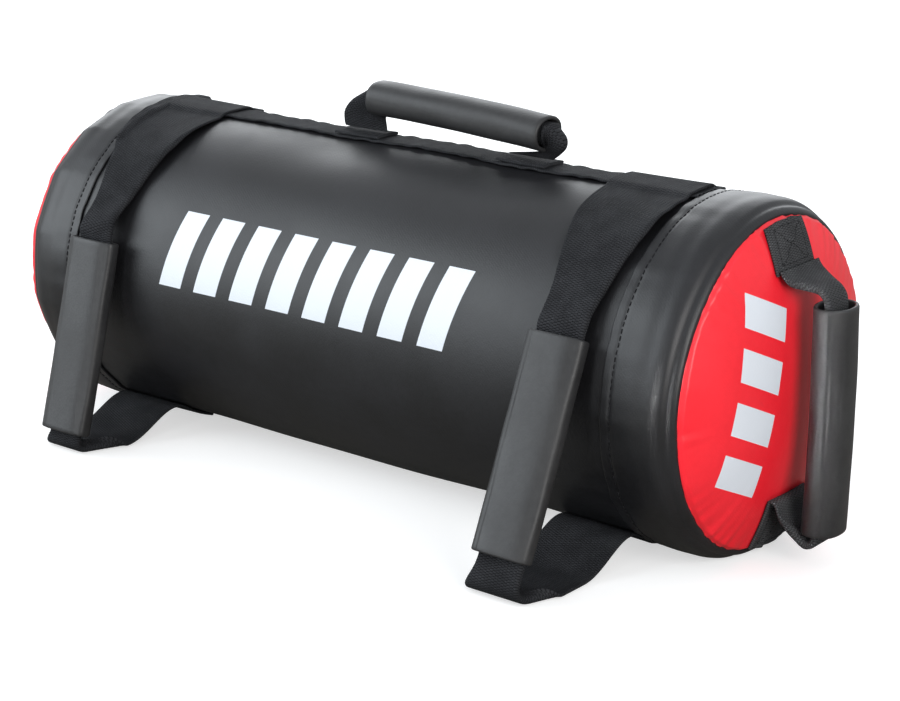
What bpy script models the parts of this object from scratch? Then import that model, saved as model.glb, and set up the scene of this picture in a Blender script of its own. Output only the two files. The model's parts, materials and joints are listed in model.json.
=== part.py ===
# Sandbag trainer: a filled training bag lying on its side, with five grips.
# Metres. X runs along the bag, the front with the two loops faces -Y, Z is up.
# The origin lies on the floor, in the middle of the flat that the bag rests on.

import math

import bmesh
import bpy
from mathutils import Matrix, Vector

# Driving dimensions of the bag
BAG_RADIUS = 0.100
BAG_LENGTH = 0.500
REST_WIDTH = 0.040
CAP_BULGE = 0.018
FIT_GAP = 0.0003
WELD_DISTANCE = 0.00001

# Artificial-leather covers
COVER_WALL = 0.0012
RING_LENGTH = 0.0465
RING_LAP = 0.011
RING_SWELL = 0.0008
RIM_DRAW_IN = 0.0042
RIM_SEAM = 0.0015

# Filling
FOAM_GAP = 0.0004
WRAP_THICKNESS = 0.018
WRAP_END_GAP = 0.014
INNER_BAG_WALL = 0.0008
PAD_DISC_EDGE = 0.006

# Webbing
WEBBING_THICKNESS = 0.002
STRIP_WIDTH = 0.022
STRIP_THICKNESS = 0.0016
SIDE_WEBBING_WIDTH = 0.050
SIDE_STRAP_INSET = 0.0015
END_WEBBING_WIDTH = 0.040

# Side loops and their grips
DEPART_ANGLE = math.radians(45.0)
FOOT_START_ANGLE = math.radians(17.5)
FOOT_END_ANGLE = math.radians(33.0)
SIDE_GRIP_LENGTH = 0.122
SIDE_GRIP_WIDTH = 0.037
SIDE_GRIP_THICKNESS = 0.015
SIDE_GRIP_WALL = 0.002
SIDE_CORE_GAP = 0.0005
SIDE_CORE_THICKNESS = 0.004
SIDE_CORE_LEAD = 0.006
FLOOR_GAP = 0.0005
FLOOR_RUN_SPARE = 0.008
HUMP_REACH = 0.060
LEAST_LEAN = math.radians(12.0)
# Each side has its own slack: webbing above the grip and below it, and the height where it folds
SIDE_LEG_RIGHT = 0.040
SIDE_LEG_LEFT = 0.046
SIDE_TAIL_RIGHT = 0.012
SIDE_TAIL_LEFT = 0.005
SIDE_FOLD_RIGHT = 0.013
SIDE_FOLD_LEFT = 0.0086

# Top handle
TOP_GRIP_LENGTH = 0.134
TOP_GRIP_WIDTH = 0.026
TOP_GRIP_HEIGHT = 0.021
TOP_GRIP_WALL = 0.0025
TOP_GRIP_X = 0.030
TOP_GRIP_CLEAR = 0.0065
TOP_GRIP_SLOPE = math.radians(2.6)
TOP_CORE_GAP = 0.0004
TOP_CORE_HEIGHT = 0.010
TOP_CORE_LEAD = 0.001
TOP_POST_CLEAR = 0.001
TAB_LENGTH = 0.036
TAB_WIDTH = 0.020
LEFT_POST_OUT = 0.007
RIGHT_POST_IN = 0.016
POST_WIDTH = 0.034
POST_BULGE = 0.008

# End handles
PATCH_LENGTH_UPPER = 0.025
PATCH_LENGTH_LOWER = 0.031
PATCH_EDGE = 0.0022
END_GRIP_LENGTH = 0.130
END_GRIP_WIDTH = 0.030
END_GRIP_THICKNESS = 0.022
END_GRIP_WALL = 0.0025
END_GRIP_CLEAR = 0.007
END_GRIP_DROP = 0.015
END_CORE_GAP = 0.0004
END_CORE_THICKNESS = 0.008
END_CORE_LEAD = 0.003
END_LOOP_DROP = 0.008
END_LOOP_CLEAR = 0.0005

# Counts and shapes without a size
FULL_TURN = 2 * math.pi
ROUND_STEPS = 64
STRAP_STEPS = 8
NARROW_STEPS = 4
PATCH_STEPS = 6
ARC_STEPS = 6
HUMP_STEPS = 8
SHARP_ANGLE = math.radians(35.0)
KNUCKLE_ANGLES = (math.radians(75.0), math.radians(40.0))
DOME_POWER = 2.6
DOME_SLOPE_SHARE = 1.3
END_RISE_SHARES = (0.0, 0.3, 0.6, 1.0)
LEG_SHARES = (0.35, 0.7)
POST_LOW_SHARES = (0.6, 1.0, 1.0)
POST_HIGH_SHARES = (0.08, 0.45, 0.8)

# Worked out from the sizes above
HALF_LENGTH = BAG_LENGTH / 2
AXIS_HEIGHT = math.sqrt(BAG_RADIUS**2 - (REST_WIDTH / 2) ** 2)
RING_START = HALF_LENGTH - RING_LENGTH
RING_RADIUS = BAG_RADIUS + FIT_GAP + COVER_WALL
COVER_END = RING_START + RING_LAP
RIM_RADIUS = BAG_RADIUS - RIM_DRAW_IN
CAP_RADIUS = RIM_RADIUS - RIM_SEAM
STRAP_INNER = BAG_RADIUS + FIT_GAP
STRAP_MIDDLE = STRAP_INNER + WEBBING_THICKNESS / 2
SIDE_STRAP_X = RING_START - SIDE_STRAP_INSET - SIDE_WEBBING_WIDTH / 2
STRIP_ANGLE = math.asin(STRIP_WIDTH / 2 / STRAP_INNER)
TAB_INNER = STRAP_INNER + STRIP_THICKNESS + FIT_GAP
TAB_OUTER = TAB_INNER + WEBBING_THICKNESS
KNUCKLE = WEBBING_THICKNESS / 2
TOP_PIVOT = AXIS_HEIGHT + TAB_OUTER + FIT_GAP + KNUCKLE
LEFT_POST_X = TOP_GRIP_X - TOP_GRIP_LENGTH / 2 - LEFT_POST_OUT
RIGHT_POST_X = TOP_GRIP_X + TOP_GRIP_LENGTH / 2 - RIGHT_POST_IN
PATCH_OUTER = CAP_RADIUS - PATCH_EDGE
PATCH_INNER_UPPER = PATCH_OUTER - PATCH_LENGTH_UPPER
PATCH_INNER_LOWER = PATCH_OUTER - PATCH_LENGTH_LOWER
END_GRIP_X = HALF_LENGTH + CAP_BULGE + END_GRIP_CLEAR + END_GRIP_THICKNESS / 2
END_GRIP_TOP = AXIS_HEIGHT + PATCH_INNER_UPPER - END_GRIP_DROP
FILL_RADIUS = BAG_RADIUS - COVER_WALL - FOAM_GAP - WRAP_THICKNESS - FOAM_GAP
FILL_END = HALF_LENGTH - WRAP_END_GAP

BLACK_COVER = ((0.020, 0.021, 0.024), 0.45)
RED_COVER = ((0.80, 0.012, 0.030), 0.42)
BLACK_WEBBING = ((0.012, 0.012, 0.013), 0.90)
BLACK_SLEEVE = ((0.035, 0.039, 0.041), 0.42)
GREY_FOAM = ((0.55, 0.56, 0.58), 0.95)
GREY_CLOTH = ((0.14, 0.14, 0.15), 0.80)
DRY_SAND = ((0.52, 0.42, 0.28), 1.00)

ALONG = Vector((1, 0, 0))
ACROSS = Vector((0, 1, 0))
UP = Vector((0, 0, 1))


def clear_scene():
    for item in list(bpy.data.objects):
        bpy.data.objects.remove(item, do_unlink=True)


def new_collection(name):
    collection = bpy.data.collections.new(name)
    bpy.context.scene.collection.children.link(collection)
    return collection


def principled(name, finish):
    colour, roughness = finish
    material = bpy.data.materials.new(name)
    material.use_nodes = True
    shader = material.node_tree.nodes["Principled BSDF"]
    shader.inputs["Base Color"].default_value = (*colour, 1.0)
    shader.inputs["Roughness"].default_value = roughness
    shader.inputs["Metallic"].default_value = 0.0
    return material


def finished(name, data, finish):
    # A named object in the bag's collection, with a material of its own
    piece = bpy.data.objects.new(name, data)
    data.materials.append(principled(name, finish))
    bag.objects.link(piece)
    return piece


def mesh_piece(name, sheet, finish):
    mesh = bpy.data.meshes.new(name)
    sheet.to_mesh(mesh)
    sheet.free()
    mesh.shade_smooth()
    mesh.set_sharp_from_angle(angle=SHARP_ANGLE)
    return finished(name, mesh, finish)


def thicken(piece, thickness, side):
    wall = piece.modifiers.new("wall", "SOLIDIFY")
    wall.thickness = thickness
    wall.offset = side
    wall.use_even_offset = True


def pivot(name, place):
    # An empty on a joint's axis, which carries what turns or slides there
    empty = bpy.data.objects.new(name, None)
    empty.location = place
    bag.objects.link(empty)
    return empty


def carry(empty, piece):
    piece.parent = empty
    piece.matrix_parent_inverse = Matrix.Translation(-empty.location)


# Round pieces: a profile of (x, radius, lift) turned about the bag's axis.
# Lift is how high above the floor the piece stays where the bag rests flat.


def turned(profile, closed=False, start=0.0, sweep=FULL_TURN, steps=ROUND_STEPS):
    # Angle 0 is straight up and grows towards the front
    sheet = bmesh.new()
    first = [sheet.verts.new(on_bag(x, start, radius)) for x, radius, lift in profile]
    edges = [sheet.edges.new(pair) for pair in zip(first, first[1:])]
    if closed:
        edges.append(sheet.edges.new((first[-1], first[0])))
    bmesh.ops.spin(
        sheet,
        geom=first + edges,
        cent=(0, 0, AXIS_HEIGHT),
        axis=ALONG,
        angle=sweep,
        steps=steps,
        use_merge=sweep == FULL_TURN,
    )
    bmesh.ops.remove_doubles(sheet, verts=sheet.verts, dist=WELD_DISTANCE)
    for vert in sheet.verts:
        vert.co.z = max(vert.co.z, lift_at(profile, vert.co))
    return sheet


def lift_at(profile, place):
    # The lift of the profile's point that a place was turned from
    radius = math.hypot(place.y, place.z - AXIS_HEIGHT)
    return min(profile, key=lambda point: math.hypot(point[0] - place.x, point[1] - radius))[2]


def on_bag(x, angle, radius):
    return Vector((x, -radius * math.sin(angle), AXIS_HEIGHT + radius * math.cos(angle)))


def face_outwards(sheet):
    # An open skin has its faces turned away from the bag's axis or middle
    middle = Vector((0, 0, AXIS_HEIGHT))
    total = 0.0
    for face in sheet.faces:
        total += face.normal.dot(face.calc_center_median() - middle) * face.calc_area()
    if total < 0:
        bmesh.ops.reverse_faces(sheet, faces=sheet.faces)


def close_outwards(sheet):
    bmesh.ops.recalc_face_normals(sheet, faces=sheet.faces)
    if sheet.calc_volume(signed=True) < 0:
        bmesh.ops.reverse_faces(sheet, faces=sheet.faces)


def turned_shell(name, profile, wall, finish):
    sheet = turned(profile)
    bmesh.ops.recalc_face_normals(sheet, faces=sheet.faces)
    face_outwards(sheet)
    piece = mesh_piece(name, sheet, finish)
    thicken(piece, wall, -1)
    return piece


def turned_solid(name, profile, finish):
    sheet = turned(profile, closed=True)
    close_outwards(sheet)
    return mesh_piece(name, sheet, finish)


def bent_webbing(name, middle_x, width, start, end, radius, thickness, steps):
    # Webbing lying on the round of the bag, from one angle to another
    profile = ((middle_x - width / 2, radius, 0), (middle_x + width / 2, radius, 0))
    sheet = turned(profile, start=start, sweep=end - start, steps=steps)
    bmesh.ops.recalc_face_normals(sheet, faces=sheet.faces)
    face_away_from_axis(sheet)
    piece = mesh_piece(name, sheet, BLACK_WEBBING)
    thicken(piece, thickness, 1)
    return piece


def face_away_from_axis(sheet):
    total = 0.0
    for face in sheet.faces:
        centre = face.calc_center_median()
        total += face.normal.dot(Vector((0, centre.y, centre.z - AXIS_HEIGHT)))
    if total < 0:
        bmesh.ops.reverse_faces(sheet, faces=sheet.faces)


# Straps: rings of corners lofted one to the next, with a flat end at each side


def lofted(name, rings, finish):
    sheet = bmesh.new()
    rows = [[sheet.verts.new(corner) for corner in ring] for ring in rings]
    count = len(rows[0])
    for near, far in zip(rows, rows[1:]):
        for i in range(count):
            j = (i + 1) % count
            sheet.faces.new((near[i], near[j], far[j], far[i]))
    sheet.faces.new(rows[0])
    sheet.faces.new(rows[-1])
    close_outwards(sheet)
    return mesh_piece(name, sheet, finish)


def strap_rings(route, widths, thicknesses, across):
    # A flat section at each point of the route, square to the way the strap runs
    rings = []
    for i, point in enumerate(route):
        before = route[max(i - 1, 0)]
        after = route[min(i + 1, len(route) - 1)]
        ahead = (after - before).normalized()
        face = ahead.cross(across).normalized()
        side = across * (widths[i] / 2)
        proud = face * (thicknesses[i] / 2)
        rings.append(
            (point - side - proud, point + side - proud, point + side + proud, point - side + proud)
        )
    return rings


def knuckle_stations(place, ahead):
    # The rounded end that a folding strap turns on, centred on the joint's axis
    stations = []
    for angle in KNUCKLE_ANGLES:
        stations.append((place - ahead * KNUCKLE * math.sin(angle), 2 * KNUCKLE * math.cos(angle)))
    stations.append((place, 2 * KNUCKLE))
    return stations


def rounded_outline(width, thickness):
    # A flattened tube's outline: two straight sides and two half rounds
    radius = min(width, thickness) / 2
    reach = (max(width, thickness) / 2) - radius
    points = []
    for i in range(2 * (ARC_STEPS + 1)):
        half = i // (ARC_STEPS + 1)
        angle = math.pi * (half + (i % (ARC_STEPS + 1)) / ARC_STEPS) - math.pi / 2
        shift = reach if half == 0 else -reach
        points.append((shift + radius * math.cos(angle), radius * math.sin(angle)))
    if width < thickness:
        points = [(y, x) for x, y in points]
    return points


def sleeve(name, width, thickness, wall, length):
    # A grip: a flat outline with its bore, drawn out along local Z
    outline = bpy.data.curves.new(name, "CURVE")
    outline.dimensions = "2D"
    outline.fill_mode = "BOTH"
    outline.extrude = length / 2
    for inset in (0.0, wall):
        points = rounded_outline(width - 2 * inset, thickness - 2 * inset)
        spline = outline.splines.new("POLY")
        spline.points.add(len(points) - 1)
        for point, (x, y) in zip(spline.points, points):
            point.co = (x, y, 0, 1)
        spline.use_cyclic_u = True
    return finished(name, outline, BLACK_SLEEVE)


def core_width(width, thickness, wall, gap, core_thickness):
    # The widest flat strap of a thickness that fits a flattened tube's bore with a gap
    bore = thickness / 2 - wall - gap
    reach = (width - thickness) / 2
    return 2 * (reach + math.sqrt(bore**2 - (core_thickness / 2) ** 2))


def aim(piece, middle, width_axis, length_axis):
    # Local X takes the width and local Z the length of a sleeve
    third = length_axis.cross(width_axis)
    turn = Matrix((width_axis, third, length_axis)).transposed()
    piece.matrix_world = Matrix.Translation(middle) @ turn.to_4x4()


# The bag and its filling


def dome(radius):
    # How far out the end cap stands at a distance from the bag's axis
    return HALF_LENGTH + CAP_BULGE * (1 - min(radius / CAP_RADIUS, 1) ** DOME_POWER)


def mirrored(profile, side):
    return [(side * x, radius, lift) for x, radius, lift in profile]


def make_body_cover():
    lap_lift = COVER_WALL + FIT_GAP
    half = ((RING_START - FIT_GAP - COVER_WALL, BAG_RADIUS, 0), (RING_START - FIT_GAP, BAG_RADIUS, lap_lift))
    half += ((COVER_END, BAG_RADIUS, lap_lift),)
    profile = list(reversed(mirrored(half, -1))) + [(0, BAG_RADIUS, 0)] + list(half)
    turned_shell("body_cover", profile, COVER_WALL, BLACK_COVER)


def make_end_rings():
    # Shares of the ring's length, and of the step from its swell down to the rim
    length_shares = (0.0, 0.15, 0.42, 0.68, 0.85, 0.95, 1.0)
    fall_shares = (0.0, 0.0, 0.0, 0.06, 0.35, 0.72, 1.0)
    swell_shares = (0.0, 0.2, 1.0, 1.0, 1.0, 1.0, 1.0)
    top = RING_RADIUS + RING_SWELL
    for side, word in ((-1, "left"), (1, "right")):
        profile = []
        for along, fall, swell in zip(length_shares, fall_shares, swell_shares):
            radius = RING_RADIUS + RING_SWELL * swell - (top - RIM_RADIUS) * fall
            profile.append((RING_START + RING_LENGTH * along, radius, 0))
        turned_shell("end_ring_" + word, mirrored(profile, side), COVER_WALL, BLACK_COVER)


def make_end_caps():
    radius_shares = (1.0, 0.96, 0.88, 0.76, 0.6, 0.4, 0.2, 0.0)
    for side, word in ((-1, "left"), (1, "right")):
        profile = [(dome(CAP_RADIUS * share), CAP_RADIUS * share, 0) for share in radius_shares]
        turned_shell("end_cap_" + word, mirrored(profile, side), COVER_WALL, RED_COVER)


def make_filling():
    skin = BAG_RADIUS - COVER_WALL - FOAM_GAP
    bore = skin - WRAP_THICKNESS
    lift = COVER_WALL + FOAM_GAP
    lap = lift + COVER_WALL + FIT_GAP
    step = RING_START - FIT_GAP - 2 * COVER_WALL
    low = step - COVER_WALL
    wrap = [(-FILL_END, bore, 0), (-low, bore, 0), (low, bore, 0), (FILL_END, bore, 0)]
    wrap += [(FILL_END, skin, lap), (step, skin, lap), (low, skin, lift)]
    wrap += [(-low, skin, lift), (-step, skin, lap), (-FILL_END, skin, lap)]
    turned_solid("padding_wrap", wrap, GREY_FOAM)
    radius = FILL_RADIUS
    wall = INNER_BAG_WALL
    end = FILL_END - wall - FIT_GAP
    cup = [(end, radius, 0), (-end, radius, 0), (-end, 0, 0), (wall - end, 0, 0)]
    cup += [(wall - end, radius - wall, 0), (end, radius - wall, 0)]
    open_turned("inner_bag", cup, GREY_CLOTH)
    lid = [(end + FIT_GAP, 0, 0), (end + FIT_GAP, radius, 0)]
    lid += [(end + FIT_GAP + wall, radius, 0), (end + FIT_GAP + wall, 0, 0)]
    open_turned("inner_bag_lid", lid, GREY_CLOTH)
    grain = radius - wall - FIT_GAP
    sand = [(wall - end + FIT_GAP, 0, 0), (wall - end + FIT_GAP, grain, 0)]
    sand += [(end, grain, 0), (end, 0, 0)]
    open_turned("sand_fill", sand, DRY_SAND)
    make_padding_discs()


def open_turned(name, profile, finish):
    # A profile that starts and ends on the axis, or closes on itself
    on_axis = profile[0][1] == 0 and profile[-1][1] == 0
    sheet = turned(profile, closed=not on_axis)
    close_outwards(sheet)
    mesh_piece(name, sheet, finish)


def make_padding_discs():
    edge = RIM_RADIUS - RIM_SEAM - COVER_WALL - PAD_DISC_EDGE
    radius_shares = (1.0, 0.85, 0.6, 0.3, 0.0)
    base = FILL_END + FOAM_GAP
    for side, word in ((-1, "left"), (1, "right")):
        profile = [(base, 0, 0), (base, edge, 0)]
        for share in radius_shares:
            reach = dome(edge * share) - COVER_WALL * DOME_SLOPE_SHARE - FOAM_GAP
            profile.append((reach, edge * share, 0))
        open_turned("padding_disc_" + word, mirrored(profile, side), GREY_FOAM)


# Webbing sewn to the bag


def make_top_strip():
    length = 2 * (RING_START - FIT_GAP)
    bent_webbing(
        "top_strip", 0, length, -STRIP_ANGLE, STRIP_ANGLE, STRAP_INNER, STRIP_THICKNESS, NARROW_STEPS
    )


def make_cap_patches():
    # Sewn ends of the end handles, draped on the cap from its rim inwards
    for side, word in ((-1, "left"), (1, "right")):
        for up, place, inner in ((1, "upper", PATCH_INNER_UPPER), (-1, "lower", PATCH_INNER_LOWER)):
            sheet = bmesh.new()
            bmesh.ops.create_grid(sheet, x_segments=PATCH_STEPS, y_segments=PATCH_STEPS, size=1.0)
            for vert in sheet.verts:
                y = vert.co.x * END_WEBBING_WIDTH / 2
                share = (vert.co.y + 1) / 2
                outer = math.sqrt(PATCH_OUTER**2 - y**2)
                z = inner + (outer - inner) * share
                x = dome(math.hypot(y, z)) + FIT_GAP
                vert.co = (side * x, y, AXIS_HEIGHT + up * z)
            bmesh.ops.recalc_face_normals(sheet, faces=sheet.faces)
            face_outwards(sheet)
            piece = mesh_piece(f"{place}_patch_{word}", sheet, BLACK_WEBBING)
            thicken(piece, WEBBING_THICKNESS, 1)


# Side loops


def make_side_loop(word, x, slack, tail, fold):
    turn_gap = (KNUCKLE + FIT_GAP) / STRAP_MIDDLE
    strip_edge = math.asin((STRIP_WIDTH / 2 + FIT_GAP) / STRAP_INNER) + FIT_GAP / STRAP_INNER
    bent_webbing(
        "side_strap_upper_" + word,
        x,
        SIDE_WEBBING_WIDTH,
        strip_edge,
        DEPART_ANGLE - turn_gap,
        STRAP_INNER,
        WEBBING_THICKNESS,
        STRAP_STEPS,
    )
    foot_start = math.pi - FOOT_START_ANGLE
    foot_end = math.pi - FOOT_END_ANGLE
    bent_webbing(
        "side_strap_foot_" + word,
        x,
        SIDE_WEBBING_WIDTH,
        foot_end + FIT_GAP / STRAP_INNER,
        foot_start,
        STRAP_INNER,
        WEBBING_THICKNESS,
        NARROW_STEPS,
    )
    # The free webbing leaves the bag on its tangent, and the grip leans out as far as the drop
    # to the floor makes it. On a tall bag it hangs at its least lean, from a longer leg.
    leave = on_bag(x, DEPART_ANGLE, STRAP_MIDDLE)
    tangent = Vector((0, -math.cos(DEPART_ANGLE), -math.sin(DEPART_ANGLE)))
    core_length = SIDE_CORE_LEAD + SIDE_GRIP_LENGTH + tail
    room = leave.z - fold
    drop = min(room - slack * math.sin(DEPART_ANGLE), core_length * math.cos(LEAST_LEAN))
    lean = math.acos(drop / core_length)
    leg = (room - drop) / math.sin(DEPART_ANGLE)
    hang = Vector((0, -math.sin(lean), -math.cos(lean)))
    folded = core_width(
        SIDE_GRIP_WIDTH, SIDE_GRIP_THICKNESS, SIDE_GRIP_WALL, SIDE_CORE_GAP, SIDE_CORE_THICKNESS
    )
    route = []
    widths = []
    thicknesses = []
    for place, thickness in knuckle_stations(leave, tangent):
        route.append(place)
        widths.append(SIDE_WEBBING_WIDTH)
        thicknesses.append(thickness)
    for share in LEG_SHARES:
        route.append(leave + tangent * leg * share)
        widths.append(SIDE_WEBBING_WIDTH + (folded - SIDE_WEBBING_WIDTH) * share)
        thicknesses.append(WEBBING_THICKNESS + (SIDE_CORE_THICKNESS - WEBBING_THICKNESS) * share)
    bend = leave + tangent * leg
    core_end = bend + hang * core_length
    for place in (bend, bend + hang * SIDE_CORE_LEAD, core_end):
        route.append(place)
        widths.append(folded)
        thicknesses.append(SIDE_CORE_THICKNESS)
    strap = lofted("side_strap_" + word, strap_rings(route, widths, thicknesses, ALONG), BLACK_WEBBING)
    loop_pivot = pivot("side_loop_pivot_" + word, leave)
    carry(loop_pivot, strap)
    grip = sleeve("side_grip_" + word, SIDE_GRIP_WIDTH, SIDE_GRIP_THICKNESS, SIDE_GRIP_WALL, SIDE_GRIP_LENGTH)
    middle = bend + hang * (SIDE_CORE_LEAD + SIDE_GRIP_LENGTH / 2)
    aim(grip, middle, ALONG, hang)
    carry(loop_pivot, grip)
    make_side_return(word, x, core_end, lean, folded)


def make_side_return(word, x, core_end, lean, folded):
    # Below the grip the webbing folds on the floor and runs back under the bag
    floor_line = WEBBING_THICKNESS / 2 + FLOOR_GAP
    hang = Vector((0, -math.sin(lean), -math.cos(lean)))
    top = core_end + hang * FIT_GAP
    start = top + hang * WEBBING_THICKNESS / 2
    fold_radius = (start.z - floor_line) / (1 + math.sin(lean))
    centre = start + Vector((0, math.cos(lean), -math.sin(lean))) * fold_radius
    route = [top]
    widths = [folded]
    thicknesses = [SIDE_CORE_THICKNESS]
    turn = math.pi / 2 + lean
    for i in range(ARC_STEPS + 1):
        share = i / ARC_STEPS
        angle = -turn + turn * share
        reach = Vector((0, math.sin(angle), -math.cos(angle))) * fold_radius
        route.append(centre + reach)
        widths.append(folded + (SIDE_WEBBING_WIDTH - folded) * share)
        thicknesses.append(SIDE_CORE_THICKNESS + (WEBBING_THICKNESS - SIDE_CORE_THICKNESS) * share)
    # Along the floor, then up in a low hump onto the round of the bag
    lift_off = Vector((x, -(BAG_RADIUS + FLOOR_RUN_SPARE), floor_line))
    landing = on_bag(x, math.pi - FOOT_END_ANGLE - FIT_GAP / STRAP_MIDDLE, STRAP_MIDDLE)
    leave_way = ACROSS * HUMP_REACH
    land_way = Vector((0, math.cos(FOOT_END_ANGLE), -math.sin(FOOT_END_ANGLE))) * HUMP_REACH
    for i in range(HUMP_STEPS + 1):
        t = i / HUMP_STEPS
        near = lift_off * (2 * t**3 - 3 * t**2 + 1) + leave_way * (t**3 - 2 * t**2 + t)
        far = landing * (3 * t**2 - 2 * t**3) + land_way * (t**3 - t**2)
        route.append(near + far)
        widths.append(SIDE_WEBBING_WIDTH)
        thicknesses.append(WEBBING_THICKNESS)
    lofted("side_strap_return_" + word, strap_rings(route, widths, thicknesses, ALONG), BLACK_WEBBING)


# Top handle


def make_top_handle():
    tab_angle = math.asin(TAB_WIDTH / 2 / TAB_INNER)
    for word, x in (("left", LEFT_POST_X), ("right", RIGHT_POST_X)):
        bent_webbing(
            "top_handle_tab_" + word,
            x,
            TAB_LENGTH,
            -tab_angle,
            tab_angle,
            TAB_INNER,
            WEBBING_THICKNESS,
            NARROW_STEPS,
        )
    top_pivot = pivot("top_handle_pivot", Vector((TOP_GRIP_X, 0, TOP_PIVOT)))
    middle = Vector((TOP_GRIP_X, 0, TOP_PIVOT + TOP_GRIP_CLEAR + TOP_GRIP_HEIGHT / 2))
    along = Vector((math.cos(TOP_GRIP_SLOPE), 0, -math.sin(TOP_GRIP_SLOPE)))
    grip = sleeve("top_handle_grip", TOP_GRIP_WIDTH, TOP_GRIP_HEIGHT, TOP_GRIP_WALL, TOP_GRIP_LENGTH)
    aim(grip, middle, ACROSS, along)
    carry(top_pivot, grip)
    strap = lofted("top_handle_strap", top_strap_rings(middle, along), BLACK_WEBBING)
    carry(top_pivot, strap)


def top_strap_rings(middle, along):
    # Each ring runs from the strap's lower edge to its upper edge, in the handle's plane.
    # The webbing is thin at its lower edge, so that the handle can fold over sideways.
    square = Vector((-along.z, 0, along.x))
    core_half = TOP_CORE_HEIGHT / 2
    core_side = core_width(
        TOP_GRIP_WIDTH, TOP_GRIP_HEIGHT, TOP_GRIP_WALL, TOP_CORE_GAP, TOP_CORE_HEIGHT
    ) / 2
    rings = []
    for side, post_x in ((-1, LEFT_POST_X), (1, RIGHT_POST_X)):
        end = middle + along * side * (TOP_GRIP_LENGTH / 2 + TOP_CORE_LEAD)
        inner_end = end - square * core_half
        outer_end = end + square * core_half
        corner = end - square * (TOP_GRIP_HEIGHT / 2 + TOP_POST_CLEAR)
        base_inner = Vector((post_x - side * POST_WIDTH / 2, 0, TOP_PIVOT))
        base_outer = Vector((post_x + side * POST_WIDTH / 2, 0, TOP_PIVOT))
        post = []
        for angle in KNUCKLE_ANGLES:
            down = UP * -KNUCKLE * math.sin(angle)
            round_half = KNUCKLE * math.cos(angle)
            post.append((base_inner + down, base_outer + down, round_half, round_half))
        post.append((base_inner, base_outer, KNUCKLE, KNUCKLE))
        for low_share, high_share in zip(POST_LOW_SHARES, POST_HIGH_SHARES):
            low = base_inner.lerp(corner, low_share)
            high = base_outer.lerp(outer_end, high_share)
            high += ALONG * side * POST_BULGE * math.sin(math.pi * high_share)
            post.append((low, high, KNUCKLE, KNUCKLE + (core_side - KNUCKLE) * high_share))
        post.append((inner_end, outer_end, core_side, core_side))
        made = [plate_ring(*section) for section in post]
        if side < 0:
            rings = made
        else:
            rings += list(reversed(made))
    return rings


def plate_ring(low, high, low_half, high_half):
    low_side = ACROSS * low_half
    high_side = ACROSS * high_half
    return (low - low_side, low + low_side, high + high_side, high - high_side)


# End handles


def make_end_handle(word, side):
    bottom = END_GRIP_TOP - END_GRIP_LENGTH
    grip = sleeve("end_grip_" + word, END_GRIP_WIDTH, END_GRIP_THICKNESS, END_GRIP_WALL, END_GRIP_LENGTH)
    aim(grip, Vector((side * END_GRIP_X, 0, END_GRIP_TOP - END_GRIP_LENGTH / 2)), ACROSS, UP)
    folded = core_width(
        END_GRIP_WIDTH, END_GRIP_THICKNESS, END_GRIP_WALL, END_CORE_GAP, END_CORE_THICKNESS
    )
    upper_x = dome(PATCH_INNER_UPPER) + FIT_GAP + WEBBING_THICKNESS / 2
    lower_x = dome(PATCH_INNER_LOWER) + 2 * FIT_GAP + END_LOOP_CLEAR + WEBBING_THICKNESS * 3 / 2
    upper_z = AXIS_HEIGHT + PATCH_INNER_UPPER - FIT_GAP - END_LOOP_CLEAR
    entry = END_GRIP_TOP + END_CORE_LEAD
    places = []
    # From the upper patch out to the grip in an even curve
    for share in END_RISE_SHARES:
        ease = share * share * (3 - 2 * share)
        x = upper_x + (END_GRIP_X - upper_x) * ease
        z = upper_z + (entry - upper_z) * share
        width = END_WEBBING_WIDTH + (folded - END_WEBBING_WIDTH) * ease
        thickness = WEBBING_THICKNESS + (END_CORE_THICKNESS - WEBBING_THICKNESS) * ease
        places.append((x, z, width, thickness))
    places.append((END_GRIP_X, bottom - END_CORE_LEAD, folded, END_CORE_THICKNESS))
    # Below the grip it turns up again, to the inner edge of the lower patch
    middle = (END_GRIP_X + lower_x) / 2
    half = (END_GRIP_X - lower_x) / 2
    for i in range(1, ARC_STEPS + 1):
        share = i / ARC_STEPS
        angle = math.pi * share
        x = middle + half * math.cos(angle)
        z = bottom - END_CORE_LEAD - END_LOOP_DROP * math.sin(angle)
        width = folded + (END_WEBBING_WIDTH - folded) * share
        thickness = END_CORE_THICKNESS + (WEBBING_THICKNESS - END_CORE_THICKNESS) * min(2 * share, 1)
        places.append((x, z, width, thickness))
    end_z = AXIS_HEIGHT - PATCH_INNER_LOWER - FIT_GAP
    places.append((lower_x, end_z, END_WEBBING_WIDTH, WEBBING_THICKNESS))
    route = [Vector((side * x, 0, z)) for x, z, width, thickness in places]
    widths = [width for x, z, width, thickness in places]
    thicknesses = [thickness for x, z, width, thickness in places]
    strap = lofted("end_strap_" + word, strap_rings(route, widths, thicknesses, ACROSS), BLACK_WEBBING)
    swing = pivot("end_handle_pivot_" + word, Vector((side * upper_x, 0, AXIS_HEIGHT)))
    carry(swing, strap)
    carry(swing, grip)


clear_scene()
bag = new_collection("sandbag_trainer")
make_body_cover()
make_end_rings()
make_end_caps()
make_filling()
make_top_strip()
make_cap_patches()
make_side_loop("left", -SIDE_STRAP_X, SIDE_LEG_LEFT, SIDE_TAIL_LEFT, SIDE_FOLD_LEFT)
make_side_loop("right", SIDE_STRAP_X, SIDE_LEG_RIGHT, SIDE_TAIL_RIGHT, SIDE_FOLD_RIGHT)
make_top_handle()
make_end_handle("left", -1)
make_end_handle("right", 1)
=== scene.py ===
import json
import math

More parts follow.
